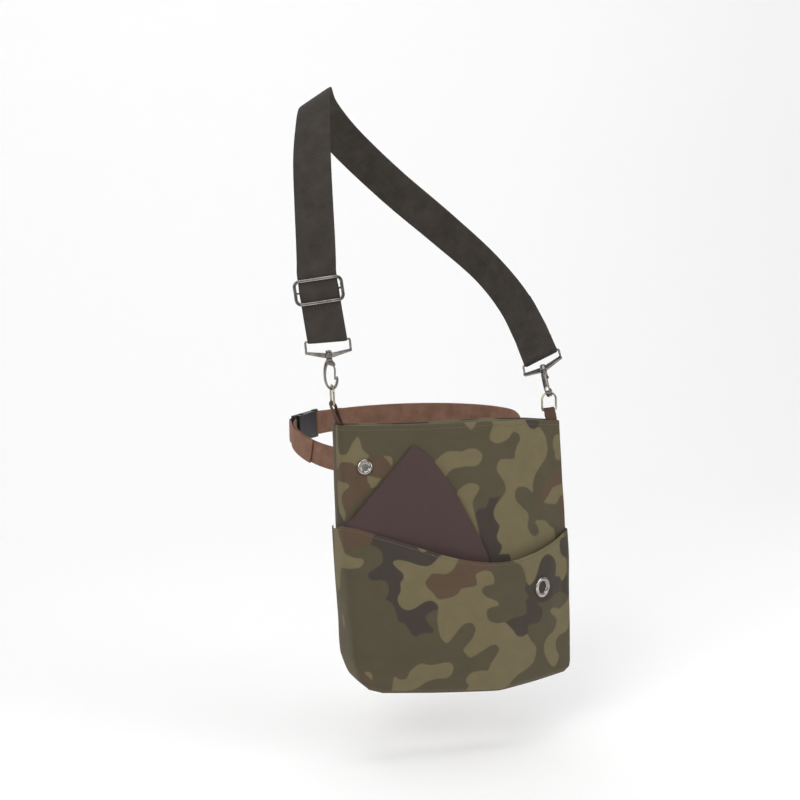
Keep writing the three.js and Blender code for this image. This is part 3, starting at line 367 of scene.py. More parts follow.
# Webbing along stations (place, direction of width), with rounded selvedges. Carries its flat coordinates.
def webbing(places, acrosses, width, thick, spacing=2.4, columns=22):
    places, acrosses = np.asarray(places, float), unit(np.asarray(acrosses, float))
    run = np.concatenate([[0], np.cumsum(np.linalg.norm(np.diff(places, axis=0), axis=1))])
    keep = np.concatenate([[True], np.diff(run) > 1e-3])
    places, acrosses, run = places[keep], acrosses[keep], run[keep]
    count = max(int(run[-1] / spacing), 8)
    at = np.linspace(0, run[-1], count + 1)
    c = softRead(run, places, at)
    w = softRead(run, acrosses, at)
    along = unit(np.gradient(c, axis=0))
    w = unit(w - along * np.sum(w * along, axis=1, keepdims=True))
    face = np.cross(along, w)
    s = np.cos(np.linspace(math.pi, 0, columns // 2))
    s = np.sign(s) * np.abs(s) ** 0.9
    half = 0.5 * np.clip(1 - np.abs(s) ** 10, 0, 1) ** 0.5
    profile = np.concatenate([np.column_stack([s, half]), np.column_stack([s[::-1], -half[::-1]])[1:-1]])
    rings = (c[:, None, :] + w[:, None, :] * (profile[None, :, 0:1] * width / 2)
             + face[:, None, :] * (profile[None, :, 1:2] * thick))
    sides = len(profile)
    faces = gridFaces(len(c), sides, True)
    last = (len(c) - 1) * sides
    faces += [tuple(range(sides - 1, -1, -1)), tuple(last + j for j in range(sides))]
    flat = np.stack(np.broadcast_arrays(profile[None, :, 0] * width / 2, at[:, None],
                                        np.sign(profile[None, :, 1])), axis=-1)
    return (rings.reshape(-1, 3), faces), flat.reshape(-1, 3), (c, w, face, at)


# Reads points kept at places run at new places, rounding the corners between them
def softRead(run, points, at):
    straight = np.stack([np.interp(at, run, points[:, k]) for k in range(points.shape[1])], axis=1)
    for _ in range(3):
        inner = (straight[:-2] + 2 * straight[1:-1] + straight[2:]) / 4
        straight = np.vstack([straight[:1], inner, straight[-1:]])
    return straight


# Metal, plastic and webbing finishes
# Zinc casting plated with nickel and polished: a dark grey mirror with a slight haze and fine rub marks,
# paler where handling has worn it
def platedMetal(name, tone, worn, rough):
    material, tree = newMaterial(name)
    place = addNode(tree, "ShaderNodeTexCoord")
    # rub marks 0.4 mm apart, drawn as fine as the picture can show
    rub = addNode(tree, "ShaderNodeTexNoise", {"noise_dimensions": "3D"},
                  {"Vector": (place, "Object"), "Scale": 2500.0, "Detail": 3.0})
    cloud = addNode(tree, "ShaderNodeTexNoise",
                    links={"Vector": (place, "Object"), "Scale": 160.0, "Detail": 4.0})
    haze = addNode(tree, "ShaderNodeMapRange",
                   links={"Value": (cloud, "Fac"), "From Min": 0.3, "From Max": 0.7,
                                                      "To Min": rough * 0.75, "To Max": rough * 1.4})
    wear = addNode(tree, "ShaderNodeMapRange", links={"Value": (cloud, "Fac"), "From Min": 0.35,
                                                      "From Max": 0.7})
    tint = addNode(tree, "ShaderNodeMix", {"data_type": "RGBA"},
                   {0: (wear, "Result"), 6: linear(tone), 7: linear(worn)})
    bump = addNode(tree, "ShaderNodeBump", links={"Height": (rub, "Fac"), "Strength": 0.035,
                                                  "Distance": 0.0002})
    closeMaterial(tree, {"Base Color": (tint, 2), "Metallic": 1.0, "Roughness": (haze, "Result"),
                         "Normal": (bump, "Normal")})
    return material


# Woven polyester webbing: ribs across every 1.3 mm, each a row of small thread ends, dull with a dry sheen;
# its colour follows the weave's height, painted shade in the hollows, mixed with worn tone
def wovenWebbing(name, dark, light, rib, pick):
    material, tree = newMaterial(name)
    place = addNode(tree, "ShaderNodeAttribute", {"attribute_name": "webPlace"})
    parts = addNode(tree, "ShaderNodeSeparateXYZ", links={"Vector": (place, "Vector")})
    acrossPhase = addNode(tree, "ShaderNodeMath", {"operation": "MULTIPLY"},
                          {0: (parts, "X"), 1: 2 * math.pi / rib})
    alongPhase = addNode(tree, "ShaderNodeMath", {"operation": "MULTIPLY"},
                         {0: (parts, "Y"), 1: 2 * math.pi / pick})
    # every second rib is moved on by half a thread, which gives the herringbone step
    lean = addNode(tree, "ShaderNodeMath", {"operation": "PINGPONG"}, {0: (parts, "X"), 1: rib * 2})
    leanPhase = addNode(tree, "ShaderNodeMath", {"operation": "MULTIPLY_ADD"},
                        {0: (lean, 0), 1: 2.1 / rib, 2: (alongPhase, 0)})
    ribs = addNode(tree, "ShaderNodeMath", {"operation": "SINE"}, {0: (acrossPhase, 0)})
    picks = addNode(tree, "ShaderNodeMath", {"operation": "SINE"}, {0: (leanPhase, 0)})
    weave = addNode(tree, "ShaderNodeMath", {"operation": "MULTIPLY_ADD"},
                    {0: (ribs, 0), 1: 0.45, 2: (picks, 0)})
    level = addNode(tree, "ShaderNodeMapRange",
                    links={"Value": (weave, 0), "From Min": -1.4, "From Max": 1.4})
    object3d = addNode(tree, "ShaderNodeTexCoord")
    wear = addNode(tree, "ShaderNodeTexNoise", links={"Vector": (object3d, "Object"), "Scale": 60.0,
                                                      "Detail": 5.0, "Roughness": 0.65})
    # painted shade: the weave level darkens the hollows and lightens the ribs, mixed with the real tone of
    # the worn noise
    weaveShadeAndWear = addNode(tree, "ShaderNodeMath", {"operation": "MULTIPLY_ADD"},
                    {0: (level, "Result"), 1: 0.55, 2: (wear, "Fac")})
    tone = addNode(tree, "ShaderNodeMapRange",
                   links={"Value": (weaveShadeAndWear, 0), "From Min": 0.35, "From Max": 1.2})
    colour = addNode(tree, "ShaderNodeMix", {"data_type": "RGBA"},
                     {0: (tone, "Result"), 6: linear(dark), 7: linear(light)})
    bump = addNode(tree, "ShaderNodeBump", links={"Height": (level, "Result"), "Strength": 0.5,
                                                  "Distance": 0.0003})
    closeMaterial(tree, {"Base Color": (colour, 2), "Roughness": 0.82, "Sheen Weight": 0.25,
                         "Sheen Roughness": 0.45,
                         "Sheen Tint": linear(light), "Specular IOR Level": 0.25,
                         "Normal": (bump, "Normal")})
    return material


# Twisted polyester sewing thread, slightly shiny; the lighter colour along its twist bands is a painted
# highlight
def sewingThread(name, tone, twistHighlight):
    material, tree = newMaterial(name)
    place = addNode(tree, "ShaderNodeTexCoord")
    twist = addNode(tree, "ShaderNodeTexWave", {"bands_direction": "DIAGONAL"},
                    {"Vector": (place, "Object"), "Scale": 900.0, "Distortion": 1.0})
    # painted highlight: on each twist band the colour turns from the thread's tone to the lighter highlight
    # colour
    shade = addNode(tree, "ShaderNodeMix", {"data_type": "RGBA"},
                    {0: (twist, "Fac"), 6: linear(tone), 7: linear(twistHighlight)})
    bump = addNode(tree, "ShaderNodeBump", links={"Height": (twist, "Fac"), "Strength": 0.3,
                                                  "Distance": 0.0001})
    closeMaterial(tree, {"Base Color": (shade, 2), "Roughness": 0.5, "Sheen Weight": 0.2,
                         "Normal": (bump, "Normal")})
    return material


# Moulded acetal: near black, satin, with the faint grain of a spark-eroded mould
def mouldedAcetal(name):
    material, tree = newMaterial(name)
    place = addNode(tree, "ShaderNodeTexCoord")
    grain = addNode(tree, "ShaderNodeTexNoise", links={"Vector": (place, "Object"), "Scale": 1600.0,
                                                       "Detail": 3.0})
    cloud = addNode(tree, "ShaderNodeTexNoise",
                    links={"Vector": (place, "Object"), "Scale": 70.0, "Detail": 3.0})
    tone = addNode(tree, "ShaderNodeMix", {"data_type": "RGBA"},
                   {0: (cloud, "Fac"), 6: linear("#151516"), 7: linear("#232325")})
    bump = addNode(tree, "ShaderNodeBump", links={"Height": (grain, "Fac"), "Strength": 0.25,
                                                  "Distance": 0.0001})
    closeMaterial(tree, {"Base Color": (tone, 2), "Roughness": 0.42, "IOR": 1.48,
                         "Normal": (bump, "Normal")})
    return material


nickel = platedMetal("polished nickel plate", "#65615e", "#8d8884", 0.13)
domedNickel = platedMetal("domed nickel plate", "#86817c", "#b9b4ad", 0.12)
satinNickel = platedMetal("satin nickel plate", "#6d6966", "#96918c", 0.2)
paleNickel = platedMetal("warm nickel plated wire", "#8d8672", "#b5ae97", 0.13)
strapWeb = wovenWebbing("dark herringbone webbing", "#26221e", "#453f38", 1.3, 1.6)
brownWeb = wovenWebbing("brown polyester webbing", "#5b4337", "#946f5b", 1.2, 1.4)
tabWeb = wovenWebbing("dark brown tab webbing", "#38281f", "#5e4638", 1.2, 1.4)
darkThread = sewingThread("near black thread", "#14110f", "#2e2925")
oliveThread = sewingThread("olive thread", "#565039", "#7c7459")
brownThread = sewingThread("brown thread", "#4a372d", "#6f5a4a")
acetal = mouldedAcetal("black moulded acetal")
print("plain finishes ready")


# Swivel frames, snap hooks, rings and tabs
frameValues = {
    "inside": 42.4, "rod": 2.3, "barUp": 15.0, "sideLow": 3.4,
    "wedgeDeep": 3.2, "wedgeHigh": 5.6, "boss": 7.4, "bossHigh": 5.6, "post": 4.0, "head": 6.6,
}
hookValues = {
    "wide": 14.6, "drop": 35.5, "band": 2.3, "deep": 5.6, "crown": 3.2,
    "gateLong": 14.6, "gateThick": 1.9, "hingeDrop": 9.6, "hingeX": 3.3, "pin": 1.6, "ear": 1.3,
    "turnGap": 0.35,
}
ringValues = {"wire": 2.2, "inside": 13.0, "high": 19.5, "play": 1.1}
tabValues = {"wide": 11.7, "thick": 1.3, "inBag": 16.0, "loopGap": 0.6}

ends = [
    {"name": "left", "swivel": vec(-105.6, -110, 107), "up": vec(-0.08, -0.03, 1),
     "across": vec(0.95, -0.26, 0.09),
     "hookTurn": 16, "ringUp": vec(-0.03, -0.05, 1), "tabFoot": vec(-96.3, -109.5, 36.6),
     "footAcross": vec(0.34, -0.94, 0)},
    {"name": "right", "swivel": vec(139.8, -44, 72.4), "up": vec(0.033, 0.689, 0.725),
     "across": vec(0.73, -0.47, 0.5),
     "hookTurn": 100, "ringUp": vec(0.12, 0.437, 0.893), "tabFoot": vec(134, -88.7, 25.4),
     "footAcross": vec(0.96, 0.27, 0)},
]
yAxis = vec(0, 1, 0)


def swivelFrameParts():
    f = frameValues
    side = f["inside"] / 2 + f["rod"] / 2
    loop = rounded([(-side, 0, f["sideLow"] - 0.4), (-side, 0, f["barUp"]), (side, 0, f["barUp"]),
                    (side, 0, f["sideLow"] - 0.4)], 2.0)
    parts = [bar(loop, yAxis, f["rod"], f["rod"], sides=18)]
    for s in (-1, 1):
        outer, inner = side + f["rod"] / 2, f["boss"] / 2 - 0.9
        outline = rounded([(s * outer, f["sideLow"] + 1.7), (s * outer, f["sideLow"] - 0.7),
                           (s * inner, -f["wedgeHigh"] / 2),
                           (s * inner, f["wedgeHigh"] / 2 - 0.6)], 0.5, True, 3)
        parts.append(plate(outline, 0, f["wedgeDeep"]))
    r, hole, half = f["boss"] / 2, f["post"] / 2 + 0.3, f["bossHigh"] / 2
    parts.append(turned([(hole, -half + 0.3), (hole + 0.3, -half), (r - 0.5, -half), (r, -half + 0.5),
                         (r, half - 0.5),
                         (r - 0.5, half), (hole + 0.3, half), (hole, half - 0.3)], 40, True))
    return parts


def hookLine():
    h = hookValues
    half = h["wide"] / 2 - h["band"] / 2
    top = -(frameValues["bossHigh"] / 2 + h["turnGap"] + h["crown"] * 0.5)
    low = -h["drop"] + h["band"] / 2
    widest = mix(top, low, 0.62)
    nose = max(-h["hingeDrop"] - h["gateLong"] + 0.2, widest + 0.6)
    points = [(half, 0, nose)]
    points += [(half * math.cos(a), 0, widest - (widest - low) * math.sin(a)) for a in np.linspace(0,
                                                                                                   math.pi,
                                                                                                   13)[1:]]
    points += [(-half * 0.97, 0, mix(widest, top, 0.3)), (-half * 0.8, 0, mix(widest, top, 0.6)),
               (-half * 0.5, 0, mix(widest, top, 0.85)), (-half * 0.1, 0, top)]
    return curveThrough(points, 90)


def hookParts():
    h, f = hookValues, frameValues
    line = hookLine()
    t = np.linspace(0, 1, len(line))
    swell = 1 + 0.5 * smooth((t - 0.75) * 4)
    nose = 1 - 0.3 * smooth((0.05 - t) / 0.05)
    parts = [bar(line, yAxis, h["deep"] * nose, h["band"] * swell * nose, sides=28, square=4.0)]
    under = f["bossHigh"] / 2 + h["turnGap"]
    parts.append(turned([(0, -under - h["crown"]), (2.4, -under - h["crown"]),
                         (3.2, -under - h["crown"] * 0.6),
                         (3.2, -under - 0.7), (2.6, -under), (f["post"] / 2, -under),
                         (f["post"] / 2, under),
                         (f["head"] / 2 - 0.3, under), (f["head"] / 2, under + 0.4),
                         (f["head"] / 2 - 0.2, under + 1.1),
                         (f["head"] / 2 - 1.2, under + 1.7), (0, under + 1.85)], 36))
    crownLow = -under - h["crown"]
    outline = rounded([(-3.4, crownLow + 1.4), (2.6, crownLow + 1.4),
                       (h["hingeX"] + 1.9, -h["hingeDrop"] + 0.9),
                       (h["hingeX"] + 1.9, -h["hingeDrop"] - 1.3),
                       (h["hingeX"] - 0.8, -h["hingeDrop"] - 1.9),
                       (-2.4, -h["hingeDrop"] + 0.4)], 1.1, True, 5)
    for s in (-1, 1):
        parts.append(plate(outline, s * (h["deep"] - h["ear"]) / 2, h["ear"]))
    rivet = turned([(0, -h["deep"] / 2 - 0.35), (0.7, -h["deep"] / 2 - 0.25), (1.0, -h["deep"] / 2),
                    (h["pin"] / 2, -h["deep"] / 2 + 0.1),
                    (h["pin"] / 2, h["deep"] / 2 - 0.1), (1.0, h["deep"] / 2), (0.7, h["deep"] / 2 + 0.25),
                    (0, h["deep"] / 2 + 0.35)], 24)
    flip = placed((h["hingeX"], 0, -h["hingeDrop"]), (0, 1, 0), (1, 0, 0))
    parts.append(moved(rivet, flip))
    return parts


def gateParts():
    h = hookValues
    deep = h["deep"] - 2 * h["ear"] - 0.6
    end = vec(h["wide"] / 2 - h["band"] / 2 - 0.25 - h["hingeX"], 0, -h["gateLong"])
    path = [vec(0, 0, 0), end * 0.35 + vec(0.35, 0, 0), end * 0.7 - vec(0.9, 0, 0),
            end + vec(-h["band"] / 2 - h["gateThick"] / 2 - 0.05, 0, -1.2)]
    line = curveThrough(path, 30)
    parts = [bar(line, yAxis, deep, h["gateThick"] * np.linspace(1, 0.75, len(line)), sides=24, square=4.0)]
    knuckle = turned([(h["pin"] / 2 + 0.3, -deep / 2), (1.7, -deep / 2), (1.9, -deep / 2 + 0.25),
                      (1.9, deep / 2 - 0.25),
                      (1.7, deep / 2), (h["pin"] / 2 + 0.3, deep / 2)], 28, True)
    parts.append(moved(knuckle, placed((0, 0, 0), (0, 1, 0), (1, 0, 0))))
    return parts


def ringParts():
    r = ringValues
    half = r["inside"] / 2 + r["wire"] / 2
    top = r["high"] - half
    path = [(-half + 1.6, 0, 0), (-half / 2, 0, 0), (0, 0, 0), (half / 2, 0, 0), (half - 1.6, 0, 0),
            (half - 0.45, 0, 0.45), (half, 0, 1.6)]
    path += [(half, 0, z) for z in np.linspace(1.6, top, 5)[1:-1]]
    path += [(half * math.cos(a), 0, top + half * math.sin(a)) for a in np.linspace(0, math.pi, 25)]
    path += [(-half, 0, z) for z in np.linspace(top, 1.6, 5)[1:]]
    path += [(-half + 0.45, 0, 0.45)]
    return [bar(path, yAxis, r["wire"], r["wire"], True, 18)]


def tabPiece(name, barAt, barAcross, foot, footAcross):
    v = tabValues
    straight = vec(0, 0, -1)
    fall = unit(foot - barAt)
    bend = unit(fall + straight)
    legApart = v["thick"] / 2 + 0.3
    loop = ringValues["wire"] / 2 + v["loopGap"] + v["thick"] / 2
    face = unit(np.cross(fall, barAcross))
    places, acrosses = [], []

    def put(base, across, spread, direction):
        places.append(base + unit(np.cross(direction, across)) * spread)
        acrosses.append(across)

    def alongLeg(t, side):
        across = unit(mix(barAcross, footAcross, t))
        spread = side * mix(loop, legApart, float(smooth(t)))
        put(mix(barAt, foot, t), across, spread, fall if t < 1 else bend)

    end = foot - vec(0, 0, v["inBag"])
    put(end, footAcross, legApart, straight)
    for t in (1, 0.85, 0.7, 0.5, 0.35, 0.18):
        alongLeg(t, 1)
    for a in np.linspace(0, math.pi, 13):
        places.append(barAt + face * loop * math.cos(a) - fall * loop * math.sin(a))
        acrosses.append(barAcross)
    for t in (0.18, 0.35, 0.5, 0.7, 0.85, 1):
        alongLeg(t, -1)
    put(end, footAcross, -legApart, straight)
    part, flat, _ = webbing(places, acrosses, v["wide"], v["thick"], 0.8, 20)
    piece = makePiece(f"{name}_tab", [part], tabWeb, [name])
    giveNumbers(piece, "webPlace", flat)


frames = {}
for end in ends:
    side = end["name"]
    swivel = placed(end["swivel"], end["up"], end["across"])
    hook = swivel @ turnZ(end["hookTurn"])
    hinge = np.eye(4)
    hinge[:3, 3] = (hookValues["hingeX"], 0, -hookValues["hingeDrop"])
    finish = nickel if side == "left" else satinNickel
    makePiece(f"swivelFrame_{side}", swivelFrameParts(), finish, [f"swivel_frame_{side}"],
              matrix=swivel, bevel=0.25)
    makePiece(f"snapHook_{side}", hookParts(), finish, [f"hook_{side}"], f"hook_{side}_turning",
              hook, bevel=0.25)
    makePiece(f"hookGate_{side}", gateParts(), finish, [f"gate_{side}"], f"gate_{side}_leaf",
              hook @ hinge, bevel=0.15)
    inHook = point(hook, (0, 0, -hookValues["drop"] + hookValues["band"] + 0.3
                          + ringValues["wire"] / 2 + ringValues["play"]))
    ringUp = unit(end["ringUp"])
    ring = placed(inHook - ringUp * ringValues["high"], ringUp, hook[:3, :3] @ vec(0, -1, 0))
    makePiece(f"dRing_{side}", ringParts(), paleNickel, [f"d_ring_{side}"], matrix=ring)
    tabPiece(f"tab_{side}", ring[:3, 3].copy(), ring[:3, 0].copy(), end["tabFoot"], unit(end["footAcross"]))
    frames[side] = swivel
print("hooks, rings and tabs ready")


# Slider and shoulder strap
sliderValues = {
    "wide": 50.5, "high": 26.5, "band": 3.3, "deep": 2.5, "corner": 7.0, "bar": 2.0, "barBack": 2.0,
    "groove": 1.1,
}
strapValues = {"wide": 39.5, "thick": 1.6, "layerGap": 0.4, "gap": 0.3, "stitches": 10}
strapRoute = [   # place on the middle of the webbing, direction of its width
    (-110.6, -109, 150, 0.95, -0.28, 0.13), (-113.2, -107.5, 169.8, 0.95, -0.28, 0.14),
              (-114.6, -105, 187, 0.95, -0.3, 0.12),
    (-114.2, -99, 221, 0.94, -0.33, 0.06), (-113, -87, 260, 0.92, -0.39, 0.03),
              (-110, -67, 299, 0.9, -0.42, 0.08),
    (-103, -36, 334.5, 0.85, -0.42, 0.32), (-91.7, 8, 363, 0.79, -0.34, 0.53),
              (-78, 49, 349, 0.76, -0.22, 0.6),
    (-45, 88, 317, 0.68, -0.12, 0.72), (10, 104, 267, 0.62, -0.06, 0.78), (66, 91, 217, 0.55, -0.3, 0.77),
    (108, 63, 174, 0.5, -0.5, 0.7), (130, 31, 138, 0.62, -0.52, 0.58), (138.4, -2, 107, 0.71, -0.48, 0.51),
]
route = curveThrough(strapRoute, 64)
routeAt, routeAcross = route[:, :3], unit(route[:, 3:])
sliderIndex = int(np.argmax(routeAt[:, 2] >= 169.8))
upperIndex = int(np.argmax(routeAt[:, 2] >= 183))
slider = placed(routeAt[sliderIndex], routeAt[upperIndex] - routeAt[0], routeAcross[sliderIndex])
behindBand = sliderValues["deep"] / 2 + 0.45 + strapValues["thick"] / 2
slider[:3, 3] -= slider[:3, 1] * behindBand


def sliderParts():
    v = sliderValues
    w, h = v["wide"] / 2 - v["band"] / 2, v["high"] / 2 - v["band"] / 2
    corner = v["corner"] - v["band"] / 2
    centres = [(-w + corner, -h + corner, 180), (w - corner, -h + corner, 270), (w - corner, h - corner, 0),
               (-w + corner, h - corner, 90)]
    loop = []
    for cx, cz, start in centres:
        loop += [(cx + corner * math.cos(math.radians(start + a)), 0,
                  cz + corner * math.sin(math.radians(start + a)))
                 for a in np.linspace(0, 90, 12)]
    loop = np.array(loop)
    parts = []
    # stamped band: two rounded rims with a shallow hollow between them
    for shift in (-1, 1):
        out = offsetLoop(loop, shift * (v["band"] / 2 - v["groove"] / 2 - 0.12))
        parts.append(bar(out, yAxis, v["deep"], v["groove"] + 0.25, True, 18, 2.4))
    parts.append(bar(loop, yAxis, v["deep"] * 0.62, v["band"] * 0.8, True, 12, 3.0))
    half = v["wide"] / 2 - v["band"] / 2
    back = v["barBack"]
    line = curveThrough([(-half, 0, 0), (-half + 1, back * 0.6, 0), (-half + 2.4, back, 0), (0, back, 0),
                         (half - 2.4, back, 0),
                         (half - 1, back * 0.6, 0), (half, 0, 0)], 60)
    parts.append(bar(line, (0, 0, 1), v["bar"], v["bar"], sides=16))
    return parts


def offsetLoop(loop, distance):
    along = unit(np.roll(loop, -1, axis=0) - np.roll(loop, 1, axis=0))
    return loop + np.cross(along, yAxis) * distance


makePiece("slider_band", sliderParts(), nickel, ["strap_slider"], matrix=slider)


def aroundBar(matrix, up, radius, thick):
    reach = radius + strapValues["gap"] + thick / 2
    return [(point(matrix, (0, reach * math.cos(a), up - reach * math.sin(a))),
             matrix[:3, 0]) for a in np.linspace(0, math.pi, 9)]


def strapStations():
    v, s = strapValues, sliderValues
    slot = s["high"] / 2 - s["band"]
    over = s["barBack"] - s["bar"] / 2 - v["gap"] - v["thick"] / 2
    under = s["barBack"] + s["bar"] / 2 + v["gap"] + v["thick"] / 2
    across = slider[:3, 0]
    through = [(point(slider, (0, mix(over, behindBand, float(smooth(abs(t)))),
                               t * (slot + s["band"] / 2))), across)
               for t in np.linspace(-1.6, 1.6, 13)]
    backLayer = []
    for z in (4.5, 1, -4, -10, -17):
        y = under if z > 0 else mix(under, behindBand + v["thick"] + v["layerGap"], min(-z / 10, 1))
        backLayer.append((point(slider, (0, y, z)), across))
    rod = frameValues["rod"] / 2
    leftFold = aroundBar(frames["left"], frameValues["barUp"], rod, v["thick"])
    rightFold = aroundBar(frames["right"], frameValues["barUp"], rod, v["thick"])
    last = through[-1][0]
    after = [(routeAt[i], routeAcross[i]) for i in range(sliderIndex + 1, len(routeAt))
             if (np.linalg.norm(routeAt[i] - last) > 8 and routeAt[i][2] > last[2]) or i > 20]
    face = frames["right"][:3, 1]
    tail = [(p + face * (v["thick"] + 2 * v["layerGap"]), a) for p, a in after[-8:][::-1][:5]]
    return backLayer + leftFold + through + after + rightFold[::-1] + tail


stations = strapStations()
part, flat, strapLine = webbing([s[0] for s in stations], [s[1] for s in stations], strapValues["wide"],
                                strapValues["thick"], 1.6, 30)
strap = makePiece("shoulder_webbing", [part], strapWeb, ["shoulder_strap"])
giveNumbers(strap, "webPlace", flat)


# Short thread stitch between two points, standing proud of the cloth by half its thickness
def stitch(a, b, out, thick):
    a, b = np.asarray(a, float), np.asarray(b, float)
    t = np.linspace(0, 1, 6)
    line = a + (b - a) * t[:, None] + out * (np.sin(t * math.pi) ** 0.5 * thick * 0.75 - thick * 0.2)[:, None]
    side = np.cross(unit(b - a), out)
    return bar(line, side, thick * (0.55 + 0.45 * np.sin(t * math.pi)), thick * 0.8, sides=6)


def barTacks():
    parts = []
    v = strapValues
    front = -slider[:3, 1]
    for k in range(v["stitches"]):
        x = mix(-v["wide"] / 2 + 5, v["wide"] / 2 - 5, k / (v["stitches"] - 1))
        lean = dice.uniform(-0.5, 0.5)
        y = behindBand - v["thick"] / 2
        a = point(slider, (x + lean, y, -sliderValues["high"] / 2 - 1.4))
        b = point(slider, (x - lean, y, -sliderValues["high"] / 2 - 6.2))
        parts.append(stitch(a, b, front, 0.9))
    right = frames["right"]
    for row, z in enumerate((27.0, 33.0)):
        for k in range(11):
            x = mix(-v["wide"] / 2 + 3, v["wide"] / 2 - 3, k / 10)
            parts.append(stitch(nearStrap(right, (x, 0, z)), nearStrap(right, (x + 2.4, 0, z)),
                                -right[:3, 1], 0.6))
    return parts


# The strap's outer face nearest a point given in a fitting's own frame
def nearStrap(matrix, local):
    p = point(matrix, local)
    c, w, face, _ = strapLine
    first = len(c) // 2
    i = first + int(np.argmin(np.linalg.norm(c[first:] - point(matrix, (0, 0, local[2])), axis=1)))
    return c[i] + w[i] * ((p - c[i]) @ w[i]) + matrix[:3, 1] * -(strapValues["thick"] / 2)


makePiece("strap_stitches", barTacks(), darkThread, [])
print("strap ready")


# Waist belt, its buckle and loops
beltValues = {
    "wide": 25.0, "thick": 1.6, "halfWidth": 124.0, "halfDepth": 96.0, "tail": 62.0, "layerGap": 0.4,
    "loopWide": 20.0, "loopThick": 1.5, "loopSewn": 9.0, "loopX": 38.0,
}
buckleValues = {"long": 52.0, "high": 31.0, "thick": 9.0, "angle": 147.0, "bar": 3.0, "plateHalf": 1.8,
                "wall": 1.6}


def beltPoint(angle, out=0.0):
    a = math.radians(angle)
    x = math.cos(a) * (beltValues["halfWidth"] + out)
    y = math.sin(a) * (beltValues["halfDepth"] + out)
    return vec(x, y, 8 - 19 * float(smooth((20 - y) / 113)))


def angleAt(distance):
    side = 1 if distance > 0 else -1
    angle, run = buckleValues["angle"], 0.0
    while run < abs(distance):
        run += np.linalg.norm(beltPoint(angle) - beltPoint(angle + side * 0.25))
        angle += side * 0.25
    return angle


upright = vec(0, 0, 1)
buckleAlong = beltPoint(buckleValues["angle"] + 4) - beltPoint(buckleValues["angle"] - 4)
buckleAlong[2] = 0
buckle = placed(beltPoint(buckleValues["angle"]), upright, buckleAlong)


def beltStations():
    v, b = beltValues, buckleValues
    barX = b["long"] / 2 - b["bar"] / 2
    turn = math.hypot(b["bar"] / 2, b["plateHalf"]) + 0.15 + v["thick"] / 2
    clear = b["long"] / 2 + 14
    outer = v["thick"] + 2 * v["layerGap"]

    def roundBar(side, order):
        rows = [(side * (barX - math.sin(a) * turn), -math.cos(a) * turn * order)
                for a in np.linspace(0, math.pi, 11)]
        past = (side * (b["long"] / 2 + 1.5), -turn)
        rows = [past] + rows if order > 0 else rows + [past]
        return [(point(buckle, (x, y, 0)), upright) for x, y in rows]

    def run(start, stop, out, steps):
        return [(beltPoint(a, out), upright) for a in np.linspace(start, stop, steps + 1)]

    socketSide, clipSide = angleAt(clear), angleAt(-clear)
    return (run(angleAt(clear + v["tail"]), socketSide, outer, 16) + roundBar(1, 1) + run(socketSide,
                                                                                          clipSide + 360, 0,
                                                                                          180)
            + roundBar(-1, -1) + run(clipSide, angleAt(-clear - 20), outer, 6))


rows = beltStations()
part, flat, _ = webbing([r[0] for r in rows], [r[1] for r in rows], beltValues["wide"], beltValues["thick"],
                        1.8, 26)
belt = makePiece("waist_webbing", [part], brownWeb, ["waist_belt"])
giveNumbers(belt, "webPlace", flat)
print("belt ready")


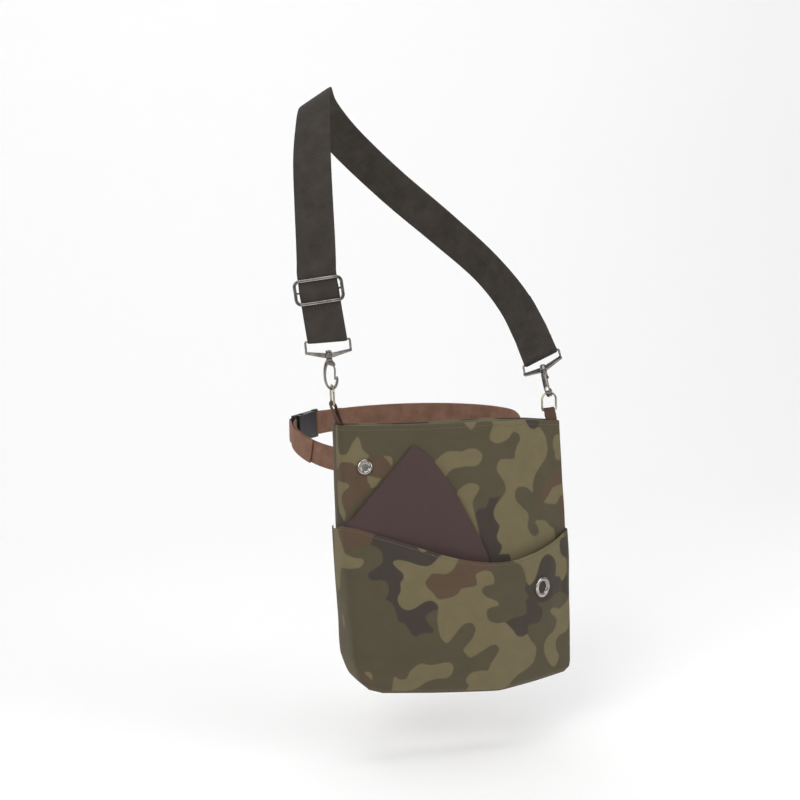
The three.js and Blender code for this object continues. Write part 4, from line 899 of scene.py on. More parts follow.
# Camouflage print, as outlines on the cloth in millimetres (across, up)
upperPrint = {
    "light": [
        # leftSpike
        [(-121, 3), (-115, 3), (-116, -4), (-117, -14), (-116, -21), (-113, -26), (-107, -27),
         (-103, -25), (-100, -20), (-96, -14), (-92, -10), (-90, -13), (-89, -18), (-87, -24),
         (-82, -29), (-86, -33), (-94, -38), (-100, -35), (-107, -34), (-114, -36), (-124, -40)],
        # besideStud
        [(-68, -30), (-61, -31), (-59, -34), (-60, -40), (-63, -36), (-65, -33)],
        # underStud
        [(-85, -49), (-82, -49), (-77, -51), (-72, -52), (-77, -59), (-82, -61), (-83, -58),
         (-85, -54)],
        # leftLow
        [(-124, -55), (-118, -54), (-110, -54), (-105, -55), (-104, -58), (-107, -61), (-111, -65),
         (-114, -69), (-115, -73), (-113, -78), (-109, -84), (-111, -90), (-114, -93), (-118, -89),
         (-122, -86), (-125, -80), (-125, -66)],
        # rightOfFlapHigh
        [(-19, -42), (-11, -34), (-4, -30), (2, -29), (12, -30), (19, -28), (26, -28), (31, -31),
         (33, -35), (31, -41), (25, -45), (15, -45), (5, -46), (-1, -48), (-6, -53), (-9, -59),
         (-15, -50)],
        # rightOfFlapLow
        [(4, -69), (10, -64), (15, -62), (21, -62), (26, -65), (26, -69), (22, -75), (19, -80),
         (19, -86), (20, -91), (21, -97), (23, -106), (25, -118), (26, -124), (21, -118), (16, -103),
         (9, -85), (3, -73)],
        # tall
        [(49, 3), (89, -1), (91, -11), (96, -15), (103, -14), (106, -16), (110, -23), (112, -32),
         (112, -40), (109, -46), (101, -53), (94, -61), (90, -70), (89, -79), (84, -74), (77, -71),
         (71, -71), (67, -74), (66, -80), (68, -85), (74, -91), (80, -97), (82, -103), (80, -109),
         (81, -115), (84, -120), (88, -123), (92, -122), (94, -119), (92, -113), (90, -108),
         (97, -108), (103, -110), (109, -116), (115, -124), (113, -154), (56, -145), (56, -137),
         (50, -136), (45, -134), (47, -131), (48, -126), (44, -121), (43, -115), (45, -111),
         (46, -106), (42, -100), (40, -93), (42, -87), (48, -80), (53, -75), (55, -70), (54, -64),
         (50, -57), (47, -51), (48, -45), (52, -41), (59, -41), (67, -42), (70, -41), (71, -35),
         (75, -28), (78, -23), (77, -18), (72, -15), (68, -17), (64, -21), (56, -24), (49, -24),
         (45, -22), (43, -18), (45, -12), (48, -6)],
        # topSmall
        [(17, 5), (33, 4), (32, 1), (30, -3), (27, -7), (24, -9), (21, -6), (18, -2)],
        # rightEdge
        [(124, -25), (121, -29), (120, -36), (122, -43), (122, -49), (127, -51), (133, -42),
         (130, -27)],
        # rightFork
        [(132, -77), (120, -77), (114, -79), (108, -85), (102, -90), (105, -92), (116, -95),
         (122, -93), (126, -88), (131, -87)],
    ],
    "brown": [
        # stud
        [(-125, -40), (-114, -36), (-107, -34), (-100, -35), (-94, -37), (-86, -32), (-82, -29),
         (-75, -30), (-68, -30), (-62, -35), (-59, -40), (-62, -49), (-72, -53), (-77, -51),
         (-82, -49), (-85, -49), (-85, -54), (-82, -61), (-93, -69), (-102, -77), (-109, -84),
         (-113, -78), (-115, -73), (-114, -69), (-111, -65), (-107, -61), (-104, -58), (-105, -55),
         (-110, -54), (-118, -54), (-126, -55)],
        # pocketEdge
        [(61, -135), (63, -132), (68, -132), (71, -134), (74, -140), (71, -147), (59, -145)],
        # rightBand
        [(133, -65), (116, -65), (108, -69), (103, -75), (98, -84), (99, -91), (103, -90), (108, -85),
         (114, -79), (120, -77), (132, -77)],
        # rightLow
        [(131, -87), (122, -93), (122, -98), (123, -105), (125, -114), (131, -115)],
    ],
    "black": [
        # beside
        [(22, -91), (26, -88), (32, -87), (35, -82), (36, -78), (41, -78), (48, -77), (46, -80),
         (42, -87), (40, -93), (42, -100), (46, -106), (45, -111), (43, -116), (44, -121), (48, -126),
         (47, -131), (45, -135), (50, -135), (56, -136), (58, -140), (56, -151), (36, -149),
         (33, -137), (27, -125), (26, -116), (24, -104), (22, -96)],
        # topRight
        [(87, -1), (104, -3), (104, -12), (100, -15), (96, -15), (91, -11)],
        # leftEdge: black patch above the pocket's left end, drawn where the gap there lies in shade, so it is
        # partly print and partly painted shade
        [(-129, -74), (-125, -80), (-122, -87), (-118, -90), (-114, -93), (-112, -97), (-124, -101),
         (-131, -101)],
    ],
}
pocketPrint = {
    "light": [
        # leftTop
        [(-131, -89), (-124, -92), (-123, -95), (-122, -100), (-117, -108), (-112, -115), (-109, -123),
         (-104, -127), (-97, -128), (-95, -131), (-98, -136), (-105, -138), (-117, -140), (-120, -148),
         (-123, -160), (-124, -162), (-133, -161)],
        # hem
        [(-96, -94), (-78, -97), (-60, -104), (-62, -108), (-67, -109), (-73, -107), (-84, -103),
         (-90, -99)],
        # halfDisc
        [(-44, -110), (-27, -116), (-32, -122), (-37, -123), (-41, -119)],
        # wide
        [(-12, -124), (-20, -128), (-26, -134), (-32, -137), (-40, -136), (-51, -132), (-59, -130),
         (-65, -131), (-66, -134), (-62, -139), (-57, -144), (-57, -149), (-60, -153), (-60, -161),
         (-63, -167), (-63, -173), (-59, -179), (-53, -181), (-46, -179), (-38, -174), (-31, -172),
         (-26, -174), (-23, -180), (-24, -191), (-23, -200), (-21, -209), (-18, -214), (-14, -217),
         (-10, -214), (-5, -208), (1, -201), (6, -198), (12, -198), (16, -203), (16, -208), (13, -215),
         (5, -224), (5, -227), (11, -234), (17, -233), (26, -228), (34, -223), (39, -223), (42, -228),
         (39, -235), (35, -242), (32, -250), (26, -250), (16, -251), (10, -255), (8, -260), (11, -265),
         (12, -274), (48, -278), (61, -265), (67, -260), (75, -257), (84, -252), (87, -244),
         (86, -236), (79, -227), (73, -219), (67, -219), (60, -217), (55, -210), (48, -202),
         (44, -200), (38, -200), (31, -197), (28, -192), (28, -186), (33, -183), (39, -182),
         (39, -179), (35, -176), (28, -173), (23, -168), (23, -163), (27, -161), (34, -160),
         (35, -155), (33, -149), (28, -146), (23, -146), (16, -149), (17, -155), (16, -160), (8, -161),
         (1, -162), (-3, -167), (-10, -170), (-22, -171), (-26, -167), (-28, -164), (-33, -159),
         (-35, -154), (-32, -149), (-27, -145), (-15, -146), (-9, -143), (-5, -139), (-1, -132),
         (1, -128)],
        # rightTop
        [(54, -138), (65, -135), (76, -132), (91, -127), (105, -120), (119, -114), (122, -120),
         (123, -130), (118, -131), (116, -136), (118, -143), (122, -150), (125, -152), (126, -166),
         (120, -175), (113, -169), (109, -167), (109, -157), (106, -149), (98, -142), (91, -143),
         (86, -149), (82, -159), (77, -166), (72, -168), (69, -164), (66, -154), (62, -146),
         (55, -141)],
        # rightTail
        [(101, -200), (106, -199), (116, -203), (123, -200), (132, -195), (132, -207), (129, -221),
         (125, -229), (116, -231), (111, -236), (112, -245), (116, -253), (114, -260), (110, -263),
         (103, -256), (98, -246), (96, -236), (100, -228), (107, -224), (111, -216), (109, -210),
         (103, -205)],
        # floor
        [(-76, -266), (-75, -260), (-71, -250), (-65, -253), (-58, -252), (-51, -243), (-41, -237),
         (-31, -239), (-18, -238), (-10, -238), (-6, -244), (-8, -251), (-14, -255), (-25, -255),
         (-37, -258), (-46, -263), (-58, -267)],
        # lowLeft
        [(-103, -244), (-98, -243), (-95, -247), (-97, -252), (-100, -248)],
        # edgeSliver
        [(-125, -187), (-121, -191), (-120, -197), (-121, -202), (-125, -200)],
    ],
    "brown": [
        # leftTop
        [(-123, -92), (-112, -93), (-93, -95), (-89, -99), (-82, -105), (-86, -112), (-92, -114),
         (-100, -116), (-109, -119), (-112, -115), (-117, -108), (-122, -100)],
        # middle
        [(2, -128), (-1, -132), (-5, -139), (-9, -143), (-15, -146), (-27, -145), (-32, -149),
         (-35, -154), (-33, -159), (-28, -164), (-26, -167), (-18, -171), (-9, -170), (-10, -170),
         (-3, -167), (1, -162), (8, -161), (16, -160), (17, -155), (16, -149), (23, -146), (28, -146),
         (34, -145), (37, -138), (30, -134), (13, -132), (0, -129)],
        # lowLeft
        [(-107, -245), (-103, -244), (-100, -248), (-97, -252), (-95, -258), (-100, -258),
         (-105, -252)],
    ],
    "black": [
        # meander
        [(-86, -112), (-82, -105), (-73, -107), (-67, -109), (-62, -108), (-60, -103), (-43, -111),
         (-41, -119), (-37, -123), (-32, -122), (-29, -116), (-12, -124), (-20, -128), (-26, -134),
         (-32, -137), (-40, -136), (-51, -132), (-59, -130), (-65, -131), (-66, -134), (-62, -139),
         (-57, -144), (-57, -149), (-60, -153), (-60, -161), (-63, -167), (-63, -173), (-59, -179),
         (-53, -181), (-46, -179), (-38, -174), (-31, -172), (-26, -174), (-23, -180), (-30, -183),
         (-35, -187), (-35, -192), (-28, -202), (-30, -205), (-37, -205), (-42, -206), (-46, -208),
         (-50, -206), (-53, -201), (-57, -195), (-63, -192), (-65, -186), (-67, -178), (-71, -172),
         (-75, -169), (-72, -163), (-72, -156), (-74, -152), (-79, -150), (-87, -150), (-91, -147),
         (-91, -143), (-84, -138), (-77, -133), (-76, -127), (-77, -121), (-82, -117), (-87, -114)],
        # eyelet
        [(98, -142), (106, -148), (109, -156), (107, -166), (115, -169), (120, -175), (126, -170),
         (131, -181), (131, -195), (122, -188), (116, -185), (107, -185), (102, -188), (90, -190),
         (83, -189), (90, -196), (91, -203), (87, -210), (74, -210), (74, -218), (67, -220),
         (60, -217), (55, -210), (48, -201), (53, -198), (64, -198), (70, -196), (70, -190),
         (68, -183), (72, -180), (67, -171), (69, -165), (72, -168), (77, -166), (82, -159),
         (86, -149), (91, -143)],
        # rightEdge
        [(118, -131), (123, -130), (128, -133), (128, -152), (120, -148), (117, -143), (116, -136)],
    ],
}



# Cloths
# Cotton twill printed in camouflage: matt, with a fine diagonal rib and slubs, with painted shade darkening
# the weave's hollows
def printedTwill(name, tones, softness, fade):
    material, tree = newMaterial(name)
    place = addNode(tree, "ShaderNodeAttribute", {"attribute_name": "clothPlace"})
    wobble = addNode(tree, "ShaderNodeTexNoise",
                     links={"Vector": (place, "Vector"), "Scale": 0.55, "Detail": 4.0})
    colour = addNode(tree, "ShaderNodeRGB")
    colour.outputs[0].default_value = linear(tones["base"])
    # the dyes bleed by half a millimetre, so an edge is soft and a little ragged
    for tone in ("brown", "light", "black"):
        inside = addNode(tree, "ShaderNodeAttribute", {"attribute_name": tone + "Print"})
        ragged = addNode(tree, "ShaderNodeMath", {"operation": "MULTIPLY_ADD"},
                         {0: (wobble, "Fac"), 1: 1.6, 2: -0.8})
        edge = addNode(tree, "ShaderNodeMath", {"operation": "ADD"}, {0: (inside, "Fac"), 1: (ragged, 0)})
        cover = addNode(tree, "ShaderNodeMapRange", {"interpolation_type": "SMOOTHSTEP"},
                        {"Value": (edge, 0), "From Min": -softness, "From Max": softness})
        colour = addNode(tree, "ShaderNodeMix", {"data_type": "RGBA"},
                         {0: (cover, "Result"),
                          6: (colour, 0 if colour.bl_idname == "ShaderNodeRGB" else 2),
                          7: linear(tones[tone])})
    parts = addNode(tree, "ShaderNodeSeparateXYZ", links={"Vector": (place, "Vector")})
    # twill lines 0.9 mm apart, climbing to the right
    slope = addNode(tree, "ShaderNodeMath", {"operation": "MULTIPLY_ADD"},
                    {0: (parts, "Y"), 1: -0.8, 2: (parts, "X")})
    phase = addNode(tree, "ShaderNodeMath", {"operation": "MULTIPLY"},
                    {0: (slope, 0), 1: 2 * math.pi / 1.15})
    twill = addNode(tree, "ShaderNodeMath", {"operation": "SINE"}, {0: (phase, 0)})
    yarn = addNode(tree, "ShaderNodeTexNoise", links={"Vector": (place, "Vector"), "Scale": 2.6,
                                                      "Detail": 3.0, "Roughness": 0.7})
    worn = addNode(tree, "ShaderNodeTexNoise", links={"Vector": (place, "Vector"), "Scale": 0.05,
                                                      "Detail": 5.0, "Roughness": 0.6})
    height = addNode(tree, "ShaderNodeMath", {"operation": "MULTIPLY_ADD"},
                     {0: (twill, 0), 1: 0.22, 2: (yarn, "Fac")})
    # painted shade: the rib and slub height darkens the colour in the hollows and lightens it on the ridges;
    # age below is worn tone
    shade = addNode(tree, "ShaderNodeMapRange",
                    links={"Value": (height, 0), "From Min": 0.2, "From Max": 0.8,
                                                       "To Min": 0.82, "To Max": 1.14})
    age = addNode(tree, "ShaderNodeMapRange",
                  links={"Value": (worn, "Fac"), "From Min": 0.3, "From Max": 0.7,
                                                     "To Min": 0.93, "To Max": 1.07})
    gain = addNode(tree, "ShaderNodeMath", {"operation": "MULTIPLY"},
                   {0: (shade, "Result"), 1: (age, "Result")})
    lit = addNode(tree, "ShaderNodeVectorMath", {"operation": "SCALE"},
                  {0: (colour, 2), "Scale": (gain, 0)})
    dusty = addNode(tree, "ShaderNodeMix", {"data_type": "RGBA"},
                    {0: fade, 6: (lit, 0), 7: linear("#8b8672")})
    bump = addNode(tree, "ShaderNodeBump", links={"Height": (height, 0), "Strength": 0.55,
                                                  "Distance": 0.00025})
    closeMaterial(tree, {"Base Color": (dusty, 2), "Roughness": 0.88, "Sheen Weight": 0.18,
                         "Sheen Roughness": 0.5,
                         "Sheen Tint": linear("#b5ad92"), "Specular IOR Level": 0.2,
                         "Normal": (bump, "Normal")})
    return material


# Thin peached cloth of the pouch: dusty purple-brown with a soft bloom and a very fine plain weave; the
# weave's height sets the colour, painted shade in its hollows, with mottled tone from the nap
def peachedCloth(name, deep, bright):
    material, tree = newMaterial(name)
    place = addNode(tree, "ShaderNodeAttribute", {"attribute_name": "clothPlace"})
    parts = addNode(tree, "ShaderNodeSeparateXYZ", links={"Vector": (place, "Vector")})
    warp = addNode(tree, "ShaderNodeMath", {"operation": "MULTIPLY"},
                   {0: (parts, "X"), 1: 2 * math.pi / 0.7})
    weft = addNode(tree, "ShaderNodeMath", {"operation": "MULTIPLY"},
                   {0: (parts, "Y"), 1: 2 * math.pi / 0.7})
    up = addNode(tree, "ShaderNodeMath", {"operation": "SINE"}, {0: (warp, 0)})
    over = addNode(tree, "ShaderNodeMath", {"operation": "SINE"}, {0: (weft, 0)})
    weave = addNode(tree, "ShaderNodeMath", {"operation": "MULTIPLY"}, {0: (up, 0), 1: (over, 0)})
    nap = addNode(tree, "ShaderNodeTexNoise", links={"Vector": (place, "Vector"), "Scale": 1.4,
                                                     "Detail": 5.0, "Roughness": 0.75})
    height = addNode(tree, "ShaderNodeMath", {"operation": "MULTIPLY_ADD"},
                     {0: (weave, 0), 1: 0.12, 2: (nap, "Fac")})
    # painted shade from the weave and real mottling from the nap: the height mixes the deep and the bright
    # colour
    tone = addNode(tree, "ShaderNodeMapRange",
                   links={"Value": (height, 0), "From Min": 0.1, "From Max": 0.9})
    colour = addNode(tree, "ShaderNodeMix", {"data_type": "RGBA"},
                     {0: (tone, "Result"), 6: linear(deep), 7: linear(bright)})
    bump = addNode(tree, "ShaderNodeBump", links={"Height": (height, 0), "Strength": 0.4,
                                                  "Distance": 0.0002})
    closeMaterial(tree, {"Base Color": (colour, 2), "Roughness": 0.9, "Sheen Weight": 0.3,
                         "Sheen Roughness": 0.4,
                         "Sheen Tint": linear("#8d7776"), "Specular IOR Level": 0.15,
                         "Normal": (bump, "Normal")})
    return material


camoTones = {"base": "#4b4434", "light": "#6b6147", "brown": "#534133", "black": "#38312e"}
camoCloth = printedTwill("camouflage printed cotton twill", camoTones, 0.9, 0.05)
liningTones = {"base": "#7b7460", "light": "#7f7863", "brown": "#776a5a", "black": "#706656"}
liningCloth = printedTwill("unprinted back of the twill", liningTones, 3.0, 0.3)
pouchCloth = peachedCloth("peached purple-brown cloth", "#3f3231", "#524341")
print("cloths ready")


# Bag body
bagValues = {
    "width": 240.0, "height": 272.0, "depth": 60.0, "wall": 1.6, "bottomRound": 5.0,
    "columns": (12, 112, 62, 10, 116),        # left side, front left, front right, right side, back
    "rows": 170, "uprightTo": 0.945, "roundRows": 9, "floorRows": 9,
    "hem": 13.0, "hemThick": 0.5,
}
# Below the mouth; x, y of left seam, front left bend, crease, right bend, right seam; bow of the back
levels = [
    (0.00, -0.975, -0.02, -0.925, -0.30, 0.42, -0.34, 1.085, 0.17, 1.075, 0.31, -0.14),
    (0.25, -0.975, -0.05, -0.920, -0.52, 0.44, -0.60, 1.085, 0.00, 1.080, 0.22, -0.08),
    (0.50, -0.965, -0.08, -0.910, -0.70, 0.42, -0.82, 1.090, -0.16, 1.085, 0.12, -0.02),
    (0.75, -0.950, -0.10, -0.895, -0.84, 0.39, -0.96, 1.085, -0.28, 1.080, 0.02, 0.03),
    (0.90, -0.945, -0.12, -0.885, -0.90, 0.37, -1.00, 1.080, -0.34, 1.070, -0.04, 0.03),
    (1.00, -0.870, -0.16, -0.820, -0.88, 0.36, -1.00, 1.070, -0.38, 1.060, -0.10, 0.00),
]
edges = [     # place across, height of the mouth and of the bottom, as shares
    (-1.0, 0.004, -0.950), (-0.82, 0.0, -0.968), (-0.66, -0.004, -0.99), (-0.2, -0.011, -1.004),
    (0.35, -0.011, -1.016), (0.75, -0.024, -1.014), (1.1, -0.045, -1.008),
]
frontColumns = sum(bagValues["columns"][:4]) + 1


def edgeHeights(x):
    rows = np.asarray(edges)
    place = x / (bagValues["width"] / 2)
    return np.interp(place, rows[:, 0], rows[:, 1]), np.interp(place, rows[:, 0], rows[:, 2])


# The bag's outside at levels h, one column after another round it, grown by grow along its outward direction
def shell(h, grow=0.0):
    b = bagValues
    columns = sum(b["columns"])
    h = np.broadcast_to(np.asarray(h, float), (np.shape(h)[0], columns))
    table = np.asarray(levels)
    values = np.stack([np.interp(h, table[:, 0], table[:, k]) for k in range(1, 12)], axis=-1)
    soft = readTable(levels, h)
    values = 0.5 * values + 0.5 * soft
    corner = values[..., :10].reshape(*h.shape, 5, 2) * (b["width"] / 2, b["depth"])
    belly = np.sin(np.pi * np.minimum(h * 1.1, 1))
    bulges = (1.2 * belly, 1 + 2.5 * belly, 0.6 + 1.6 * belly, 0.6 * belly, values[..., 10] * b["depth"])
    flat = np.zeros((*h.shape, 2))
    start = 0
    for i, count in enumerate(b["columns"]):
        part = slice(start, start + count)
        t = (np.arange(count) / count)[None, :, None]
        a, c = corner[:, part, i], corner[:, part, (i + 1) % 5]
        along = c - a
        out = np.stack([along[..., 1], -along[..., 0]], axis=-1) / np.linalg.norm(along, axis=-1,
                                                                                  keepdims=True)
        flat[:, part] = a + along * t + out * (bulges[i][:, part, None] * np.sin(np.pi * t))
        start += count
    crease = sum(b["columns"][:2])
    near = np.exp(-((np.arange(columns) - crease) / 12.0) ** 2)[None, :, None]
    for weight, passes in ((1.0, 8), (near, 60)):
        for _ in range(passes):
            flat = flat + weight * 0.25 * (np.roll(flat, 1, 1) + np.roll(flat, -1, 1) - 2 * flat)
    along = np.roll(flat, -1, 1) - np.roll(flat, 1, 1)
    out = np.stack([along[..., 1], -along[..., 0]], axis=-1)
    out /= np.maximum(np.linalg.norm(out, axis=-1, keepdims=True), 1e-9)
    mouth, bottom = edgeHeights(flat[..., 0])
    z = b["height"] * mix(mouth, bottom, h)
    flat = flat + out * np.broadcast_to(grow, h.shape)[..., None]
    return np.concatenate([flat, z[..., None]], axis=-1), out


middleRing = shell(np.array([[0.5]]))[0][0]
# place of each column on the flat cloth: x on the front, arc length beyond its two bends
leftBend, rightBend = bagValues["columns"][0], sum(bagValues["columns"][:3])
step = np.linalg.norm(np.roll(middleRing, -1, 0) - middleRing, axis=1)
clothAcross = middleRing[:, 0].copy()
clothAcross[:leftBend] = clothAcross[leftBend] - np.cumsum(step[:leftBend][::-1])[::-1]
clothAcross[rightBend:frontColumns] = clothAcross[rightBend] + np.cumsum(step[rightBend:frontColumns])


# Soft folds pressed into a cloth: each runs between two places (x, z), with its width and height, out or in
def foldHeight(x, z, folds):
    total = np.zeros(np.shape(x))
    for x0, z0, x1, z1, wide, high in folds:
        run = vec(x1 - x0, z1 - z0)
        length = np.linalg.norm(run)
        run = run / length
        t = ((x - x0) * run[0] + (z - z0) * run[1]) / length
        side = (x - x0) * -run[1] + (z - z0) * run[0]
        ends = smooth((t + 0.15) / 0.35) * smooth((1.15 - t) / 0.35)
        total += high * ends * np.exp(-(side / wide) ** 2)
    return total


def cloudy(x, z, high):
    return high * (np.sin(x / 21 + 0.7 * np.sin(z / 37)) * np.sin(z / 29 + 1.1)
                   + 0.6 * np.sin(x / 11 + z / 17 + 2.0)
                   + 0.35 * np.sin(x / 6.1 - z / 9.3))


bodyFolds = [
    (-70, -6, 40, -9, 6, 0.7), (-20, -16, 60, -20, 7, -0.9), (60, -20, 118, -30, 8, 0.9),
    (88, -30, 80, -90, 7, -1.3),
    (104, -40, 98, -120, 6, 1.0), (45, -30, 52, -100, 9, 0.8), (-100, -30, -104, -90, 6, 0.8),
    (124, -60, 122, -200, 5, -0.6),
    (-60, -14, -95, -34, 6, 0.7), (10, -60, 24, -130, 8, 0.7),
]


def bodyOuter(h, grow=0.0):
    points, out = shell(h, grow)
    x, z = clothAcross[None, :] + 0 * points[..., 2], points[..., 2]
    lift = cloudy(x, z, 0.35) + foldHeight(x, z, bodyFolds)
    low = smooth((z + 250) / 40)
    points[..., :2] += out * (lift * low * smooth((2 - z) / 10))[..., None]
    return points, out


def shellGrid(grow, lift, rows, surface):
    b = bagValues
    h = np.linspace(0, b["uprightTo"], rows)[:, None]
    grids = [surface(h, grow)[0]]
    for turn in np.linspace(0, 90, b["roundRows"] + 1)[1:]:
        a = math.radians(turn)
        level = b["uprightTo"] + (1 - b["uprightTo"]) * math.sin(a)
        row = surface(np.array([[level]]), grow - b["bottomRound"] * (1 - math.cos(a)))[0]
        row[..., 2] += lift * math.sin(a)
        grids.append(row)
    last = grids[-1][0]
    middle = last.mean(axis=0)
    for share in np.linspace(1, 0.06, b["floorRows"])[1:]:
        grids.append((middle + (last - middle) * vec(share, share, 1))[None])
    return np.concatenate(grids)


def addBagBody():
    b = bagValues
    outer = shellGrid(0.0, 0.0, b["rows"], bodyOuter)
    # the hem: cloth folded inwards, so it is thicker for its first millimetres
    drop = np.linspace(0, b["uprightTo"], b["rows"]) * b["height"]
    hem = smooth((b["hem"] - drop) / 2)
    inner = shellGrid(-b["wall"], b["wall"], b["rows"], bodyOuter)
    face = outer[:b["rows"]] - inner[:b["rows"]]
    inner[:b["rows"]] -= face * (hem * b["hemThick"] / b["wall"])[:, None, None]
    lip = []
    for a in np.linspace(0, math.pi, 9)[1:-1]:
        across = (outer[0] - inner[0]) / 2
        high = np.array([0, 0, 1.2])
        lip.append(((outer[0] + inner[0]) / 2 + across * math.cos(a) + high * math.sin(a))[None])
    grid = np.concatenate([outer[::-1], *lip, inner])
    rows, columns = grid.shape[:2]
    verts = grid.reshape(-1, 3)
    verts = np.vstack([verts, verts[:columns].mean(axis=0), verts[-columns:].mean(axis=0)])
    faces = gridFaces(rows, columns, True)
    low, high = rows * columns, rows * columns + 1
    top = (rows - 1) * columns
    faces += [(low, (j + 1) % columns, j) for j in range(columns)]
    faces += [(high, top + j, top + (j + 1) % columns) for j in range(columns)]
    piece = makePiece("bag_cloth", [(verts + bagPlace, faces)], camoCloth, ["bag_body"])
    piece.data.materials.append(liningCloth)
    inside = [0] * len(faces)
    edge = (len(outer) + len(lip)) * columns
    for i, face in enumerate(faces):
        if min(face) >= edge or high in face:
            inside[i] = 1
    piece.data.polygons.foreach_set("material_index", inside)
    across = np.broadcast_to(clothAcross[None, :], (rows, columns)).reshape(-1)
    back = (np.arange(columns) >= frontColumns)[None, :] & np.ones((rows, 1), bool)
    putPrint(piece, np.append(across, (0, 0)), verts[:, 2], verts[:, 0],
             np.append(back.reshape(-1), (False, False)), upperPrint)
    return outer


# Smooth closed outline through its chosen points
def closedOutline(points, perSpan=5):
    p = np.asarray(points, float)
    out = []
    for t in np.arange(perSpan) / perSpan:
        a, b, c, d = np.roll(p, 1, 0), p, np.roll(p, -1, 0), np.roll(p, -2, 0)
        out.append(0.5 * (2 * b + (c - a) * t + (2 * a - 5 * b + 4 * c - d) * t ** 2
                          + (3 * b - a - 3 * c + d) * t ** 3))
    return np.stack(out, axis=1).reshape(-1, 2)


# Millimetres that each place (x, z) lies inside the nearest outline; negative outside
def insideBy(places, outlines, reach=7.0):
    value = np.full(len(places), -reach)
    for points in outlines:
        line = closedOutline(points)
        near = np.all((places > line.min(0) - reach) & (places < line.max(0) + reach), axis=1)
        if not near.any():
            continue
        q = places[near][:, None, :]
        a, b = line[None], np.roll(line, -1, 0)[None]
        ab = b - a
        t = np.clip(((q - a) * ab).sum(-1) / np.maximum((ab * ab).sum(-1), 1e-9), 0, 1)
        far = np.linalg.norm(q - a - ab * t[..., None], axis=-1).min(axis=1)
        above = (a[..., 1] > q[..., 1]) != (b[..., 1] > q[..., 1])
        cross = a[..., 0] + (q[..., 1] - a[..., 1]) * ab[..., 0] / np.where(np.abs(ab[..., 1]) < 1e-9, 1e-9,
                                                                            ab[..., 1])
        within = (above & (q[..., 0] < cross)).sum(axis=1) % 2 == 1
        value[near] = np.maximum(value[near], np.where(within, far, -far))
    return value


# Printed distances for a piece of the bag. The back is another panel of the cloth, laid the other way round.
def putPrint(piece, across, z, x, back, chart):
    giveNumbers(piece, "clothPlace", np.column_stack([np.where(back, -x, across), z, 0 * z]))
    for tone in ("light", "brown", "black"):
        value = insideBy(np.column_stack([across, z]), chart[tone])
        if back.any():
            low = z < -104
            bx = np.where(low, -x, -x + 0.35 * (z + 104))
            bx = np.where(bx > 116, 232 - bx, bx)
            bz = np.where(low, z, -208 - z)
            value = np.where(back, insideBy(np.column_stack([bx, bz]), pocketPrint[tone]), value)
        giveNumbers(piece, tone + "Print", value)


bodySurface = addBagBody()
print("bag body ready")


# The body's front as a height field: y and outward direction at x and z
def frontField():
    rows = bodySurface[:bagValues["rows"], :frontColumns]
    across = np.arange(-112.0, 129.0, 1.0)
    y = np.array([np.interp(across, row[:, 0], row[:, 1]) for row in rows])
    z = np.array([np.interp(across, row[:, 0], row[:, 2]) for row in rows])
    down = np.arange(0.0, 256.0, 1.0)
    field = np.array([np.interp(down, -z[:, k], y[:, k]) for k in range(len(across))]).T
    return across, down, field


fieldAcross, fieldDown, field = frontField()
slopeDown, slopeAcross = np.gradient(field)


def readField(values, x, drop):
    i = np.clip(np.asarray(drop, float) - fieldDown[0], 0, len(fieldDown) - 1.001)
    j = np.clip(np.asarray(x, float) - fieldAcross[0], 0, len(fieldAcross) - 1.001)
    a, b = i.astype(int), j.astype(int)
    s, t = i - a, j - b
    return ((values[a, b] * (1 - t) + values[a, b + 1] * t) * (1 - s)
            + (values[a + 1, b] * (1 - t) + values[a + 1, b + 1] * t) * s)


def onFront(x, drop, grow):
    y = readField(field, x, drop)
    out = np.stack([readField(slopeAcross, x, drop), np.full(np.shape(y), -1.0),
                    -readField(slopeDown, x, drop)], axis=-1)
    out = unit(out)
    return np.stack([np.asarray(x, float) + 0 * y, y, -np.asarray(drop, float) + 0 * y],
                    axis=-1) + out * np.asarray(grow)[..., None], out



# Front pocket
pocketValues = {
    "wall": 1.4, "puff": 13.0, "belly": 4.2, "ease": 0.5, "gap": 0.3, "topLeft": 101.5, "topLow": 136.5,
    "topRight": 117.0,
    "lowX": 43.0, "foot": 0.992, "rows": 110, "sideFall": 9.0, "stitchDrop": 2.2,
}
pocketFolds = [
    (41, -140, 38, -262, 7, 1.9), (76, -98, 68, -150, 8, -1.5), (-112, -224, -98, -262, 9, -1.9),
    (-84, -118, -60, -190, 11, -0.9),
    (-20, -150, -34, -250, 10, 0.9), (100, -140, 104, -250, 8, 0.9), (60, -200, 96, -262, 9, -1.0),
    (-60, -232, 30, -240, 8, 0.7),
    (118, -130, 122, -240, 5, -0.9), (10, -160, 20, -235, 8, -0.8),
]


def pocketTop(x):
    v = pocketValues
    t = (x + bagValues["width"] / 2) / (v["lowX"] + bagValues["width"] / 2)
    left = mix(v["topLeft"], v["topLow"], smooth(t))
    rise = np.clip((x - v["lowX"]) / (bagValues["width"] * 0.533 - v["lowX"]), 0, 1)
    right = mix(v["topLow"], v["topRight"], rise ** 2)
    # on the bag's left side the edge falls away towards the seam
    return np.where(x < v["lowX"], left, right) + v["sideFall"] * smooth((-109 - x) / 7)


def pocketStand(x, down):
    v = pocketValues
    across = np.sin(np.pi * np.clip((x / (bagValues["width"] / 2) + 1.02) / 2.1, 0, 1))
    return (v["ease"] + v["puff"] * across ** 0.8 * (1 - down) ** 1.3
            + v["belly"] * across * np.sin(np.pi * down))


